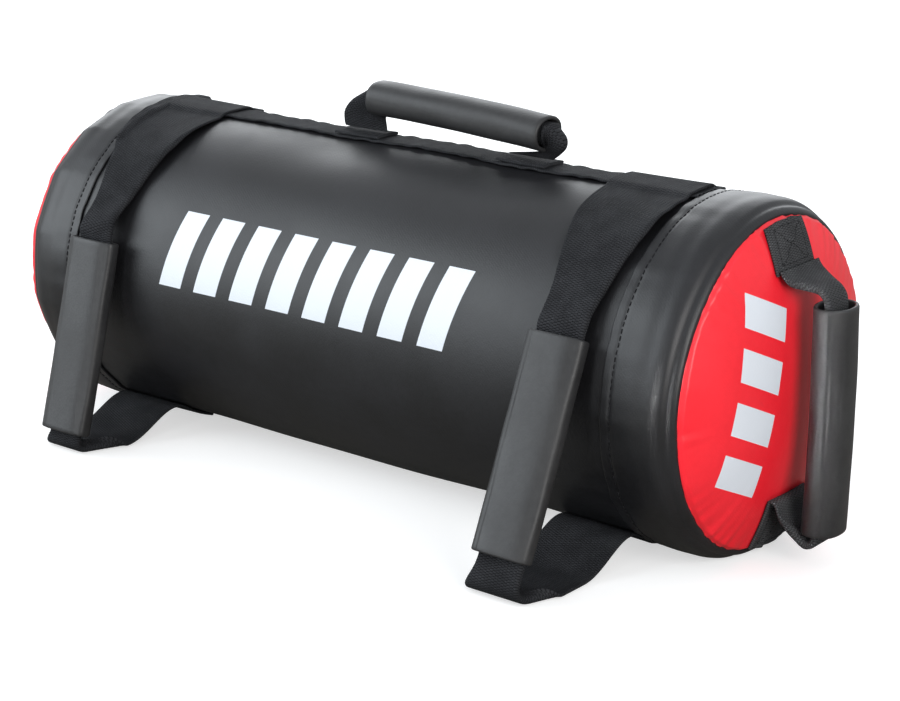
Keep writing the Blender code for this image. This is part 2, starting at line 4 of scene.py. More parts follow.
import bmesh
import bpy
import numpy as np
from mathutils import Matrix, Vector


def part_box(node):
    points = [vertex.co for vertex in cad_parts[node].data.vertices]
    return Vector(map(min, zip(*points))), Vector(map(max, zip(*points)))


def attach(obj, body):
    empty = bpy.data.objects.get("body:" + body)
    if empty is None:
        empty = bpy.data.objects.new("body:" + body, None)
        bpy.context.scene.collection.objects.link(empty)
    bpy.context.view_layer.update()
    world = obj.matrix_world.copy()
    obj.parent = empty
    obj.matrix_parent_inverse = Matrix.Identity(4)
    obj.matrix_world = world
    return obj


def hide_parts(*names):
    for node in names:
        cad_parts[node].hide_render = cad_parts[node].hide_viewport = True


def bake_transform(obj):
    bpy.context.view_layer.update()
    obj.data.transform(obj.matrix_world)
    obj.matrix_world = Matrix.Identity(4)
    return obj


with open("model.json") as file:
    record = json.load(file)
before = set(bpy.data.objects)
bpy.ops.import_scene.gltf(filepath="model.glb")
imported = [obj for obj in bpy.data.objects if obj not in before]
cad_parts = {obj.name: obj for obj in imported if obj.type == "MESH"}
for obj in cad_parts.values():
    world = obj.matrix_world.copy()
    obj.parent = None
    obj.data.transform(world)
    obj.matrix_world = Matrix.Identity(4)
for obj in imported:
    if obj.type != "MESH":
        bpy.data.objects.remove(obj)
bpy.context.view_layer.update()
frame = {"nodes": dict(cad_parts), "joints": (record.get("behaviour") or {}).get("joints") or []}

# Dressing of the sandbag trainer. Metres; X runs along the bag, the two loops are at -Y, Z is up.
# A turn is an angle round the bag's axis: 0 is the top, and it grows towards the loops' side.
joints = {joint["name"]: joint for joint in frame["joints"]}
fullTurn = 2 * math.pi
bothEnds = ((-1, "left"), (1, "right"))
print("frame loaded:", len(frame["nodes"]), "solids")


def span(node):
    # A solid's lower and upper corner
    low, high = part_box(node)
    return np.array(low), np.array(high)


def middleX(node):
    # The place along the bag of a solid's middle
    low, high = span(node)
    return float((low[0] + high[0]) / 2)


# Sizes that the solids give
coverHigh = span("body_cover")[1]
ringLow, ringHigh = span("end_ring_right")
capHigh = span("end_cap_right")[1]
bagRadius = float(coverHigh[1])
axisHeight = float(coverHigh[2]) - bagRadius
coverEnd = float(coverHigh[0])
lapX = float(ringLow[0])
rimX = float(ringHigh[0])
capRadius = float(capHigh[1])
capBulge = float(capHigh[0]) - rimX
postPlaces = [middleX("top_handle_tab_" + word) for _, word in bothEnds]
sideX = middleX("side_strap_right")


# Small sums used all over


def smooth(t):
    # From 0 to 1 with level ends: three times t squared less twice t cubed
    t = np.clip(t, 0.0, 1.0)
    return t * t * (3 - 2 * t)


def bell(x, middle, reach):
    # A hump of height 1 round a middle: e to minus the square of the distance over the reach
    return np.exp(-(((x - middle) / reach) ** 2))


def unit(v):
    # Each vector divided by its own length
    return v / np.maximum(np.linalg.norm(v, axis=-1, keepdims=True), 1e-12)


def lengthAlong(line):
    # The length run from a line's start to each of its points
    return np.concatenate([[0.0], np.cumsum(np.linalg.norm(np.diff(line, axis=0), axis=1))])


def readAt(places, along, line):
    # A line read again at given lengths along it, straight between its points
    return np.stack([np.interp(places, along, line[:, k]) for k in range(line.shape[1])], 1)


def evenly(corners, step):
    # A line through given corners, read again at even steps along its length
    corners = np.asarray(corners, float)
    along = lengthAlong(corners)
    places = np.linspace(0, along[-1], max(2, int(round(along[-1] / step)) + 1))
    return readAt(places, along, corners)


def softened(line, reach, step):
    # The line averaged over a bell of a given reach, its two ends kept where they are
    count = int(3 * reach / step) + 1
    weights = bell(np.arange(-count, count + 1) * step, 0.0, reach)
    weights /= weights.sum()
    before = 2 * line[:1] - line[count:0:-1]
    after = 2 * line[-1:] - line[-2:-count - 2:-1]
    padded = np.concatenate([before, line, after])
    return np.stack([np.convolve(padded[:, k], weights, "valid") for k in range(line.shape[1])], 1)


# Meshes from grids of points


def gridQuads(rows, columns, closedRows=False, closedColumns=False):
    # Corner numbers of the quads of a grid, and the places of the same corners in its UV grid
    i = np.arange(rows if closedRows else rows - 1)[:, None]
    j = np.arange(columns if closedColumns else columns - 1)[None, :]
    i, j = np.broadcast_arrays(i, j)
    nextI, nextJ = (i + 1) % rows, (j + 1) % columns
    corners = ((i, j), (nextI, j), (nextI, nextJ), (i, nextJ))
    quads = np.stack([row * columns + column for row, column in corners], -1)
    wide = columns + closedColumns
    places = (i * wide + j)[..., None] + np.array([0, wide, wide + 1, 1])
    return quads.reshape(-1, 4), places.reshape(-1, 4)


def makeMesh(name, points, faceSets, uvSets, weld=False):
    # Every face set is an array with a row for each face. The sum of the faces' cones from the
    # origin tells whether they face out, and all are turned round if they don't.
    points = np.asarray(points, float).reshape(-1, 3)
    volume = 0.0
    for faces in faceSets:
        for k in range(1, faces.shape[1] - 1):
            a, b, c = points[faces[:, 0]], points[faces[:, k]], points[faces[:, k + 1]]
            volume += float(np.einsum("ij,ij->i", a, np.cross(b, c)).sum())
    if volume < 0:
        faceSets = [faces[:, ::-1] for faces in faceSets]
        uvSets = [uvs[:, ::-1] for uvs in uvSets]
    corners = np.concatenate([faces.ravel() for faces in faceSets])
    sizes = np.concatenate([np.full(len(faces), faces.shape[1]) for faces in faceSets])
    starts = np.concatenate([[0], np.cumsum(sizes)[:-1]])
    mesh = bpy.data.meshes.new(name)
    mesh.vertices.add(len(points))
    mesh.vertices.foreach_set("co", points.astype(np.float32).ravel())
    mesh.loops.add(len(corners))
    mesh.loops.foreach_set("vertex_index", corners.astype(np.int32))
    mesh.polygons.add(len(sizes))
    mesh.polygons.foreach_set("loop_start", starts.astype(np.int32))
    layer = mesh.uv_layers.new(name="UVMap")
    layer.data.foreach_set("uv", np.concatenate([uvs.ravel() for uvs in uvSets]).astype(np.float32))
    mesh.update(calc_edges=True)
    if weld:
        work = bmesh.new()
        work.from_mesh(mesh)
        bmesh.ops.remove_doubles(work, verts=work.verts, dist=1e-6)
        work.to_mesh(mesh)
        work.free()
    mesh.validate()
    return mesh


def gridMesh(name, points, uvs, closedRows=False, closedColumns=False, weld=False):
    # The mesh of one grid of points
    quads, places = gridQuads(*points.shape[:2], closedRows, closedColumns)
    return makeMesh(name, points, [quads], [uvs.reshape(-1, 2)[places]], weld)


def dress(name, mesh, material, body, replaced=(), sharp=50.0):
    # A finished piece: its finish, the body that carries it, and the solids it stands for. A piece
    # that bends is given two bodies and the two places between which it bends, but these are not
    # used: it is only baked where it stands.
    mesh.materials.append(material)
    mesh.shade_smooth()
    mesh.set_sharp_from_angle(angle=math.radians(sharp))
    piece = bpy.data.objects.new(name, mesh)
    bpy.context.scene.collection.objects.link(piece)
    if isinstance(body, str):
        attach(piece, body)
    else:
        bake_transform(piece)
    if replaced:
        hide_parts(*replaced)
    return piece


# Node trees


def addNode(tree, kind, settings=None, inputs=None):
    # A shader node; an input's value is a number, a colour, or the socket that feeds it
    made = tree.nodes.new("ShaderNode" + kind)
    for key, value in (settings or {}).items():
        setattr(made, key, value)
    for key, value in (inputs or {}).items():
        if isinstance(value, bpy.types.NodeSocket):
            tree.links.new(value, made.inputs[key])
        else:
            made.inputs[key].default_value = value
    return made


def maths(tree, operation, first, second=0.0, third=0.0):
    # One step of a sum, from up to three numbers or sockets
    made = addNode(tree, "Math", {"operation": operation}, {0: first, 1: second, 2: third})
    return made.outputs[0]


def mixColours(tree, share, first, second):
    # Sockets 6 and 7 of the node hold its two colours, and its third output is the mixed one
    colours = [(*c, 1.0) if isinstance(c, tuple) else c for c in (first, second)]
    inputs = {"Factor": share, 6: colours[0], 7: colours[1]}
    return addNode(tree, "Mix", {"data_type": "RGBA"}, inputs).outputs[2]


def ranged(tree, value, low, high, newLow, newHigh):
    # A value carried from one range to another with level ends
    inputs = {"Value": value, "From Min": low, "From Max": high}
    inputs.update({"To Min": newLow, "To Max": newHigh})
    return addNode(tree, "MapRange", {"interpolation_type": "SMOOTHSTEP"}, inputs).outputs["Result"]


def noise(tree, place, scale, detail):
    # Cloudy noise, mostly between 0.3 and 0.7
    inputs = {"Vector": place, "Scale": scale, "Detail": detail}
    return addNode(tree, "TexNoise", None, inputs).outputs["Fac"]


def newGroup(name, inputs, outputs):
    # A node group with named sockets: a name, a kind and, for an input, its value
    group = bpy.data.node_groups.new(name, "ShaderNodeTree")
    newSocket = group.interface.new_socket
    for title, kind, value in inputs:
        socket = newSocket(name=title, in_out="INPUT", socket_type="NodeSocket" + kind)
        if value is not None:
            socket.default_value = value
    for title, kind in outputs:
        newSocket(name=title, in_out="OUTPUT", socket_type="NodeSocket" + kind)
    given = group.nodes.new("NodeGroupInput").outputs
    return group, given, group.nodes.new("NodeGroupOutput").inputs


def useGroup(tree, group, inputs):
    return addNode(tree, "Group", {"node_tree": group}, inputs).outputs


def makeGrainGroup():
    # Fine leather grain: small pebbles with furrows between them, and a faint slanting thread
    group, given, wanted = newGroup(
        "fineGrain",
        [("Vector", "Vector", None), ("Pebble", "Float", 900.0), ("Thread", "Float", 0.25)],
        [("Height", "Float")],
    )
    place = given["Vector"]
    pebble = {"Vector": place, "Scale": given["Pebble"], "Smoothness": 0.6}
    cells = addNode(group, "TexVoronoi", {"feature": "SMOOTH_F1"}, pebble).outputs["Distance"]
    thread = {"Vector": place, "Scale": 260.0, "Distortion": 0.6, "Detail": 1.0}
    wave = addNode(group, "TexWave", {"bands_direction": "DIAGONAL"}, thread).outputs["Fac"]
    cloud = noise(group, place, 420.0, 3.0)
    both = maths(group, "MULTIPLY_ADD", cloud, 0.9, maths(group, "MULTIPLY", cells, -0.8))
    group.links.new(maths(group, "MULTIPLY_ADD", wave, given["Thread"], both), wanted["Height"])
    return group


def makeMottleGroup():
    # Soft cloudy patches, from 0 to 1
    inputs = [("Vector", "Vector", None), ("Scale", "Float", 30.0)]
    group, given, wanted = newGroup("softMottle", inputs, [("Value", "Float")])
    cloud = noise(group, given["Vector"], given["Scale"], 4.0)
    group.links.new(ranged(group, cloud, 0.32, 0.68, 0.0, 1.0), wanted["Value"])
    return group


def makeWeaveGroup():
    # Webbing: ribs across it, broken into columns that sit half a rib apart, as in a brick wall.
    # The UV map is in metres, U along the webbing and V across it.
    group, given, wanted = newGroup(
        "webWeave",
        [("UV", "Vector", None), ("Rib", "Float", 0.0013), ("Column", "Float", 0.0017)],
        [("Height", "Float"), ("Gap", "Float")],
    )
    parts = addNode(group, "SeparateXYZ", None, {0: given["UV"]}).outputs
    column = maths(group, "DIVIDE", parts["Y"], given["Column"])
    odd = maths(group, "MODULO", maths(group, "FLOOR", column), 2.0)
    rib = maths(group, "MULTIPLY_ADD", odd, 0.5, maths(group, "DIVIDE", parts["X"], given["Rib"]))
    ribShare = maths(group, "FRACT", rib)
    columnShare = maths(group, "FRACT", column)
    mounds = []
    for share in (ribShare, columnShare):
        off = maths(group, "ABSOLUTE", maths(group, "MULTIPLY_ADD", share, 2.0, -1.0))
        mounds.append(maths(group, "SUBTRACT", 1.0, maths(group, "POWER", off, 2.6)))
    height = maths(group, "MULTIPLY", mounds[0], maths(group, "MULTIPLY_ADD", mounds[1], 0.6, 0.4))
    group.links.new(height, wanted["Height"])
    # The gap mask marks the weave's low places between the ribs, where painted shade goes
    group.links.new(ranged(group, height, 0.05, 0.5, 1.0, 0.0), wanted["Gap"])
    return group


def makeBarsGroup():
    # A row of like slanting bars as a mask. U runs along the row and V across it, both in metres.
    names = ("Start", "Pitch", "Fill", "Count", "Low", "High", "Slant")
    inputs = [("UV", "Vector", None)] + [(name, "Float", 0.0) for name in names]
    group, given, wanted = newGroup("slantedBars", inputs, [("Mask", "Float")])
    parts = addNode(group, "SeparateXYZ", None, {0: given["UV"]}).outputs
    rise = maths(group, "SUBTRACT", parts["Y"], given["Low"])
    shifted = maths(group, "SUBTRACT", parts["X"], maths(group, "MULTIPLY", rise, given["Slant"]))
    offset = maths(group, "SUBTRACT", shifted, given["Start"])
    place = maths(group, "DIVIDE", offset, given["Pitch"])
    share = maths(group, "FRACT", place)
    softEdge = maths(group, "DIVIDE", 0.0003, given["Pitch"])
    fillEnd = maths(group, "ADD", given["Fill"], softEdge)
    mask = ranged(group, share, given["Fill"], fillEnd, 1.0, 0.0)
    within = ((place, 0.0, given["Count"]), (parts["Y"], given["Low"], given["High"]))
    for value, low, high in within:
        mask = maths(group, "MULTIPLY", mask, maths(group, "GREATER_THAN", value, low))
        mask = maths(group, "MULTIPLY", mask, maths(group, "LESS_THAN", value, high))
    group.links.new(mask, wanted["Mask"])
    return group


grainGroup = makeGrainGroup()
mottleGroup = makeMottleGroup()
weaveGroup = makeWeaveGroup()
barsGroup = makeBarsGroup()


def newMaterial(name, rough, specular=0.5):
    # A material with its shader's two plain numbers set
    material = bpy.data.materials.new(name)
    material.use_nodes = True
    tree = material.node_tree
    shader = tree.nodes["Principled BSDF"].inputs
    shader["Roughness"].default_value = rough
    shader["Specular IOR Level"].default_value = specular
    return material, tree, shader


def placeSocket(tree, kind="Object"):
    return addNode(tree, "TexCoord").outputs[kind]


def mottled(tree, place, scale):
    # Cloudy patches of a given scale, from 0 to 1
    return useGroup(tree, mottleGroup, {"Vector": place, "Scale": scale})["Value"]


def bumped(tree, height, distance):
    return addNode(tree, "Bump", None, {"Height": height, "Distance": distance}).outputs["Normal"]


printInk = {"colour": (0.66, 0.70, 0.76), "rough": 0.42}


def leather(name, look, bars=None):
    # Artificial leather: a cloudy base colour, grain as a bump, and a print of bars on the UV map
    smoother, rougher = look["rough"]
    material, tree, shader = newMaterial(name, smoother)
    place = placeSocket(tree)
    cloud = mottled(tree, place, look["cloud"])
    speck = mottled(tree, place, look["speck"])
    grain = {"Vector": place, "Pebble": look["pebble"], "Thread": look["thread"]}
    height = useGroup(tree, grainGroup, grain)["Height"]
    share = maths(tree, "MULTIPLY_ADD", speck, 0.35, maths(tree, "MULTIPLY", cloud, 0.65))
    colour = mixColours(tree, share, look["dark"], look["light"])
    roughness = ranged(tree, cloud, 0.0, 1.0, smoother, rougher)
    if bars:
        mask = useGroup(tree, barsGroup, {"UV": placeSocket(tree, "UV"), **bars})["Mask"]
        colour = mixColours(tree, mask, colour, printInk["colour"])
        roughness = ranged(tree, mask, 0.0, 1.0, roughness, printInk["rough"])
    tree.links.new(colour, shader["Base Color"])
    tree.links.new(roughness, shader["Roughness"])
    tree.links.new(bumped(tree, height, look["depth"]), shader["Normal"])
    return material


def webbing(name, look):
    # Webbing: ribs and columns as a bump, with painted shade between the ribs, and fuzz with
    # painted glints of bright fibres
    material, tree, shader = newMaterial(name, look["rough"], look["specular"])
    place = placeSocket(tree)
    ribs = {"UV": placeSocket(tree, "UV"), "Rib": look["rib"], "Column": look["column"]}
    weave = useGroup(tree, weaveGroup, ribs)
    fuzz = noise(tree, place, 1800.0, 3.0)
    # Painted glints: bright specks of the fuzz noise lift the thread colour towards its light tone
    fibreGlint = maths(tree, "MULTIPLY_ADD", ranged(tree, fuzz, 0.60, 0.72, 0.0, 1.0), 0.5, 0.2)
    share = maths(tree, "MULTIPLY_ADD", mottled(tree, place, 60.0), 0.12, fibreGlint)
    threads = mixColours(tree, share, look["dark"], look["light"])
    # Painted shade: the low places between the ribs are darkened to the gap colour
    colour = mixColours(tree, maths(tree, "MULTIPLY", weave["Gap"], 0.95), threads, look["gap"])
    height = maths(tree, "MULTIPLY_ADD", fuzz, 0.25, weave["Height"])
    tree.links.new(colour, shader["Base Color"])
    tree.links.new(bumped(tree, height, look["depth"]), shader["Normal"])
    return material


def plainSoft(name, dark, light, rough, scale, depth, specular=0.5):
    # Foam, cloth, thread and sand: a speckled colour and a grainy bump
    material, tree, shader = newMaterial(name, rough, specular)
    cloud = mottled(tree, placeSocket(tree), scale)
    tree.links.new(mixColours(tree, cloud, dark, light), shader["Base Color"])
    tree.links.new(bumped(tree, cloud, depth), shader["Normal"])
    return material


# Finishes. A print is a row of bars: where it starts, its pitch, the share of it that is filled,
# and the row's lower and upper edge.
bodyPrint = {
    "Start": -0.117,
    "Pitch": 0.0292,
    "Fill": 0.62,
    "Count": 8.0,
    "Low": 0.0970,
    "High": 0.1450,
    "Slant": -0.22,
}
capPrint = {
    "Start": -0.060,
    "Pitch": 0.0290,
    "Fill": 0.62,
    "Count": 4.0,
    "Low": 0.025,
    "High": 0.059,
    "Slant": 0.22,
}
blackLook = {
    "dark": (0.006, 0.006, 0.007),
    "light": (0.010, 0.010, 0.012),
    "rough": (0.40, 0.46),
    "pebble": 1100.0,
    "thread": 0.2,
    "depth": 0.00005,
    "cloud": 24.0,
    "speck": 260.0,
}
redLook = {
    **blackLook,
    "dark": (0.80, 0.012, 0.024),
    "light": (0.86, 0.016, 0.030),
    "rough": (0.36, 0.42),
}
sleeveLook = {
    "dark": (0.014, 0.014, 0.015),
    "light": (0.026, 0.026, 0.027),
    "rough": (0.44, 0.54),
    "pebble": 700.0,
    "thread": 0.1,
    "depth": 0.00006,
    "cloud": 24.0,
    "speck": 260.0,
}
webbingLook = {
    "rib": 0.0015,
    "column": 0.0021,
    "depth": 0.0005,
    "rough": 0.70,
    "specular": 0.05,
    "dark": (0.006, 0.006, 0.007),
    "light": (0.085, 0.088, 0.096),
    # gap: painted shade in the low places between the ribs
    "gap": (0.0010, 0.0010, 0.0014),
}
# Painted light: a lighter copy of the webbing for the end handles and their patches, standing in
# for the light that falls on them there
litEndWebbingLook = {**webbingLook, "dark": (0.014, 0.014, 0.015), "light": (0.19, 0.195, 0.205)}
blackPrinted = leather("black_leather_printed", {**blackLook, "rough": (0.42, 0.48)}, bodyPrint)
blackPlain = leather("black_leather", blackLook)
redPrinted = leather("red_leather_printed", redLook, capPrint)
redPlain = leather("red_leather", redLook)
sleeveBlack = leather("sleeve_leather", sleeveLook)
webBlack = webbing("black_webbing", webbingLook)
litWebbing = webbing("lit_end_webbing", litEndWebbingLook)
threadDark, threadLight = (0.003, 0.003, 0.004), (0.018, 0.018, 0.020)
threadBlack = plainSoft("black_thread", threadDark, threadLight, 0.7, 700.0, 0.00005, 0.15)
foamGrey = plainSoft("grey_foam", (0.50, 0.51, 0.53), (0.60, 0.61, 0.63), 0.95, 500.0, 0.0002)
clothGrey = plainSoft("grey_cloth", (0.12, 0.12, 0.13), (0.17, 0.17, 0.18), 0.85, 1500.0, 0.0001)
sandDry = plainSoft("dry_sand", (0.42, 0.33, 0.21), (0.60, 0.49, 0.34), 1.0, 2500.0, 0.0002)
print("finishes made:", len(bpy.data.materials))


# The round of the bag
bagLook = {
    "wave": 0.0005,
    "waveLengths": (0.23, 0.12),
    "gather": 0.00022,
    "gatherReach": 0.017,
    "postDip": 0.0014,
    "postReach": 0.030,
    "postTurn": 0.26,
    "postSpread": 0.17,
    "press": 0.0006,
    "pressHalf": 0.028,
    "pressEdge": 0.008,
    "floorSoft": 0.0012,
}


def bagRelief(x, turn):
    # How far the filled bag swells past its round: long waves along and around it, small gathers
    # that fade away from the two lap seams, a dip beside each foot of the top handle, and a press
    # under the webbing
    side = np.abs(x)
    first, second = (fullTurn / length for length in bagLook["waveLengths"])
    waves = np.sin(first * x + 1.3 + 1.1 * np.sin(turn)) * np.cos(2 * turn + 0.6)
    waves = waves + 0.6 * np.sin(second * x + 2 * turn + 0.4) * np.cos(3 * turn - 1.0)
    gathers = np.sin(23 * turn + 2.0 + np.sign(x))
    gathers = gathers + 0.7 * np.sin(37 * turn + 5.0) + 0.5 * np.sin(51 * turn + 1.0)
    fade = np.exp(-np.abs(side - lapX) / bagLook["gatherReach"])
    relief = bagLook["wave"] * waves + bagLook["gather"] * gathers * fade
    foot, spread = bagLook["postTurn"], bagLook["postSpread"]
    beside = bell(turn, foot, spread) + bell(turn, -foot, spread)
    for postX in postPlaces:
        relief = relief - bagLook["postDip"] * bell(x, postX, bagLook["postReach"]) * beside
    under = smooth((bagLook["pressHalf"] - np.abs(side - sideX)) / bagLook["pressEdge"])
    under = under * smooth((turn + 0.1) / 0.1) * smooth((0.85 - turn) / 0.15)
    return relief - bagLook["press"] * under


def roundTheBag(x, radius, turns):
    # An arc about the bag's axis, in a plane across it
    across, up = -radius * np.sin(turns), radius * np.cos(turns)
    return np.stack([0 * turns + x, across, axisHeight + up], 1)


def onBag(x, turn, radius, lift=0.0):
    # A place at a distance from the bag's axis, swollen by the relief. It is kept softly above its
    # lift: half the sum of its height and the root of the squares of that height and of the
    # softness.
    swollen = radius + bagRelief(x, turn) * np.minimum(radius / bagRadius, 1.0)
    x, turn, swollen = np.broadcast_arrays(x, turn, swollen)
    above = axisHeight + swollen * np.cos(turn) - lift
    height = lift + 0.5 * (above + np.sqrt(above**2 + bagLook["floorSoft"] ** 2))
    return np.stack([x, -swollen * np.sin(turn), height], -1)


def skinSection(outline, wall, roundSteps=3):
    # A closed loop round a skin's section of (x, radius): its outer line, a rounded edge, its inner
    # line and a rounded edge. The third column is the depth below the outer face.
    run = unit(np.gradient(outline, axis=0))
    out = np.stack([-run[:, 1], run[:, 0]], 1)
    inner = outline - out * wall
    angles = np.linspace(math.pi / 2, -math.pi / 2, roundSteps + 2)[1:-1, None]

    def edge(place, run, out):
        return place - out * wall / 2 + (run * np.cos(angles) + out * np.sin(angles)) * wall / 2

    far = edge(outline[-1], run[-1], out[-1])
    near = edge(outline[0], -run[0], out[0])[::-1]
    loop = np.concatenate([outline, far, inner[::-1], near])
    fall = wall * (1 - np.sin(angles[:, 0])) / 2
    depth = np.concatenate([np.zeros(len(outline)), fall, np.full(len(outline), wall), fall[::-1]])
    return np.column_stack([loop, depth])


def turnedPiece(name, section, lift, turns, side=1, closed=True, shape=None, weld=False):
    # A section of (x, radius, depth) turned about the bag's axis; shape moves its points by turn
    turn = np.linspace(-math.pi, math.pi, turns + 1)[None, :]
    x, radius, depth = (section[:, [k]] + 0 * turn for k in range(3))
    if shape:
        x, radius = shape(x, radius, turn)
    x = x * side
    points = onBag(x, turn, radius, lift + depth)
    uvs = np.stack([x, turn * bagRadius + 0 * x], -1)
    if closed:
        uvs = np.concatenate([uvs, uvs[:1]])
    return gridMesh(name, points[:, :-1], uvs, closed, True, weld)


coverLook = {"wall": 0.0012, "steps": 150, "turns": 300, "lapLift": 0.0015}


def makeCover():
    # The tube between and under the two end bands, lifted off the floor where they lap under it
    reach = coverEnd - coverLook["wall"] / 2
    x = np.linspace(-reach, reach, coverLook["steps"])
    outline = np.stack([x, np.full_like(x, bagRadius)], 1)
    section = skinSection(outline, coverLook["wall"])
    lap = smooth((np.abs(section[:, 0]) - lapX + 0.002) / 0.002) * coverLook["lapLift"]
    mesh = turnedPiece("cover_skin", section, lap[:, None], coverLook["turns"])
    cover = dress("cover_skin", mesh, blackPrinted, "root", ["body_cover"])


ringLook = {
    "wall": 0.0012,
    "turns": 360,
    "swell": 0.0008,
    "fall": 0.0058,
    "rimRound": 0.0030,
    "stitchOffset": 0.0058,
    "groove": 0.00035,
    "fold": 0.00018,
    "foldPitch": 0.0145,
    "welt": 0.0009,
    "weltOffset": 0.0068,
    "facets": 17,
    "facetDepth": 0.75,
}
ringRadius = float(ringHigh[1]) - ringLook["swell"]


def ringFacets(turn, side):
    # The left rim is a many-sided line rather than a round. A polygon's radius is the cosine of
    # half a side's angle over the cosine of the angle from that side's middle.
    if side > 0:
        return 1 + 0.0022 * np.sin(9 * turn + 0.7) * np.cos(4 * turn)
    step = fullTurn / ringLook["facets"]
    within = np.mod(turn + 0.13 + 0.10 * np.sin(2 * turn), step) - step / 2
    return 1 + ringLook["facetDepth"] * (math.cos(step / 2) / np.cos(within) - 1)


def ringShape(side):
    def shape(x, radius, turn):
        # Towards the rim the band takes up the facets; soft folds run round it between seam and
        # rim, and a shallow groove sets off the roll at the rim
        along = (x - lapX) / (rimX - lapX)
        wander = 0.9 * np.sin(2 * turn + 1.0) + 0.6 * np.sin(5 * turn)
        fold = np.sin(fullTurn * (x - lapX) / ringLook["foldPitch"] + wander)
        strength = 0.55 + 0.45 * np.sin(turn + 0.8)
        folded = ringLook["fold"] * fold * strength * bell(along, 0.62, 0.26)
        groove = ringLook["groove"] * bell(x, lapX + ringLook["stitchOffset"], 0.0011)
        groove = groove + ringLook["welt"] * bell(x, rimX - ringLook["weltOffset"], 0.0018)
        facet = 1 + (ringFacets(turn, side) - 1) * smooth((along - 0.2) / 0.7)
        return x, radius * facet + folded - groove

    return shape


def ringOutline():
    # Radius along the band: level with a slight swell, then a fall to the rim, an arc turning in
    share = np.linspace(0.0, 1.0, 56)
    x = lapX + (rimX - ringLook["rimRound"] - lapX) * share
    swell = ringLook["swell"] * smooth(share / 0.42)
    fall = ringLook["fall"] * np.clip((share - 0.40) / 0.60, 0, 1) ** 4.0
    radius = ringRadius + swell - fall
    start = math.atan((radius[-1] - radius[-2]) / (x[-1] - x[-2]))
    rolls = np.linspace(start, math.radians(-125), 12)[1:]
    rimRound = ringLook["rimRound"]
    out = np.array([-math.sin(start), math.cos(start)])
    middle = np.array([x[-1], radius[-1]]) - rimRound * out
    rolled = middle + rimRound * np.stack([-np.sin(rolls), np.cos(rolls)], 1)
    return np.concatenate([np.stack([x, radius], 1), rolled])


def makeRings():
    # The band's outline as a skin, turned about the bag's axis at each end
    section = skinSection(ringOutline(), ringLook["wall"])
    for side, word in bothEnds:
        name = "ring_skin_" + word
        mesh = turnedPiece(name, section, 0.0, ringLook["turns"], side, shape=ringShape(side))
        dress(name, mesh, blackPlain, "root", ["end_ring_" + word])


capLook = {
    "wall": 0.0012,
    "turns": 420,
    "power": 2.6,
    "pucker": 0.00055,
    "puckerReach": 0.0095,
    "wave": 0.0007,
    "waveReach": 0.026,
    "tuck": 0.0021,
    "tuckReach": 0.0019,
    "press": 0.0011,
    "leftPuff": 0.011,
    "printTilt": 12.0,
}
# A patch goes from its inner edge to a place near the rim. Both are distances from the bag's axis.
patchRim = 0.0938
patchHalf = float(span("upper_patch_right")[1][1])
patchUpper = float(span("upper_patch_right")[0][2]) - axisHeight
patchLower = axisHeight - float(span("lower_patch_right")[1][2])
patchSides = ((1, "upper", patchUpper), (-1, "lower", patchLower))


def dome(radius, side=1):
    # How far out the cap stands: its bulge falls with a power of the distance from the bag's axis.
    # The left one swells more near its edge.
    share = np.minimum(radius / capRadius, 1.0)
    puffed = capLook["leftPuff"] * share**3 * (1 - share**12) if side < 0 else 0.0
    return rimX + capBulge * (1 - share ** capLook["power"]) + puffed


def capRelief(radius, turn):
    # Puckers, which are cosines of the turn that fade away from the rim seam, wide soft waves, and
    # the press under the two sewn patches
    inward = capRadius - radius
    beat = np.cos(41 * turn + 0.5) + 0.8 * np.cos(59 * turn + 2.0) + 0.6 * np.cos(73 * turn + 4.0)
    patchy = 0.55 + 0.45 * np.sin(3 * turn + 1.2) * np.cos(5 * turn)
    puckers = capLook["pucker"] * beat * patchy * np.exp(-inward / capLook["puckerReach"])
    waves = capLook["wave"] * np.sin(7 * turn + 0.8) * np.cos(3 * turn)
    waves = waves * np.exp(-inward / capLook["waveReach"]) * smooth(radius / 0.03)
    across = smooth((patchHalf + 0.003 - np.abs(radius * np.sin(turn))) / 0.006)
    press = 0.0
    for sign, _, inner in patchSides:
        press = press + across * smooth((sign * radius * np.cos(turn) - inner + 0.004) / 0.006)
    return puckers + waves - capLook["press"] * press


def layCapPrint(mesh):
    # The print lies in the cap's own plane: U up the cap and V towards the loops, both tilted
    places = np.zeros(len(mesh.vertices) * 3, np.float32)
    mesh.vertices.foreach_get("co", places)
    loops = np.zeros(len(mesh.loops), np.int32)
    mesh.loops.foreach_get("vertex_index", loops)
    corners = places.reshape(-1, 3)[loops]
    up, across = corners[:, 2] - axisHeight, -corners[:, 1]
    tilt = math.radians(capLook["printTilt"])
    cosine, sine = math.cos(tilt), math.sin(tilt)
    uvs = np.stack([up * cosine - across * sine, across * cosine + up * sine], 1)
    mesh.uv_layers[0].data.foreach_set("uv", uvs.ravel())


def makeCaps():
    # Discs with a face and a back, their rings closer together towards the rim
    outline = capRadius * (1 - np.linspace(1.0, 0.0, 70) ** 1.5)
    radii = np.concatenate([outline, outline[::-1]])
    depth = np.repeat([0.0, capLook["wall"]], len(outline))
    for side, word in bothEnds:
        inset = depth * 0.4 * (radii > 0)
        section = np.column_stack([dome(radii, side) - depth * 1.1, radii - inset, depth])

        def shape(x, radius, turn):
            # The rim of the cap is tucked in behind the band's rolled edge
            tuck = capLook["tuck"] * smooth((radius - capRadius) / capLook["tuckReach"] + 1)
            facet = 1 + (ringFacets(turn, side) - 1) * smooth(radius / capRadius - 0.15)
            return x + capRelief(radius, turn) - tuck, radius * facet

        name = "cap_skin_" + word
        turns = capLook["turns"]
        mesh = turnedPiece(name, section, 0.0, turns, side, closed=False, shape=shape, weld=True)
        layCapPrint(mesh)
        finish = redPrinted if side > 0 else redPlain
        dress(name, mesh, finish, "root", ["end_cap_" + word])


makeCover()
makeRings()
makeCaps()
print("covers made")


# Webbing as a shell round a middle surface


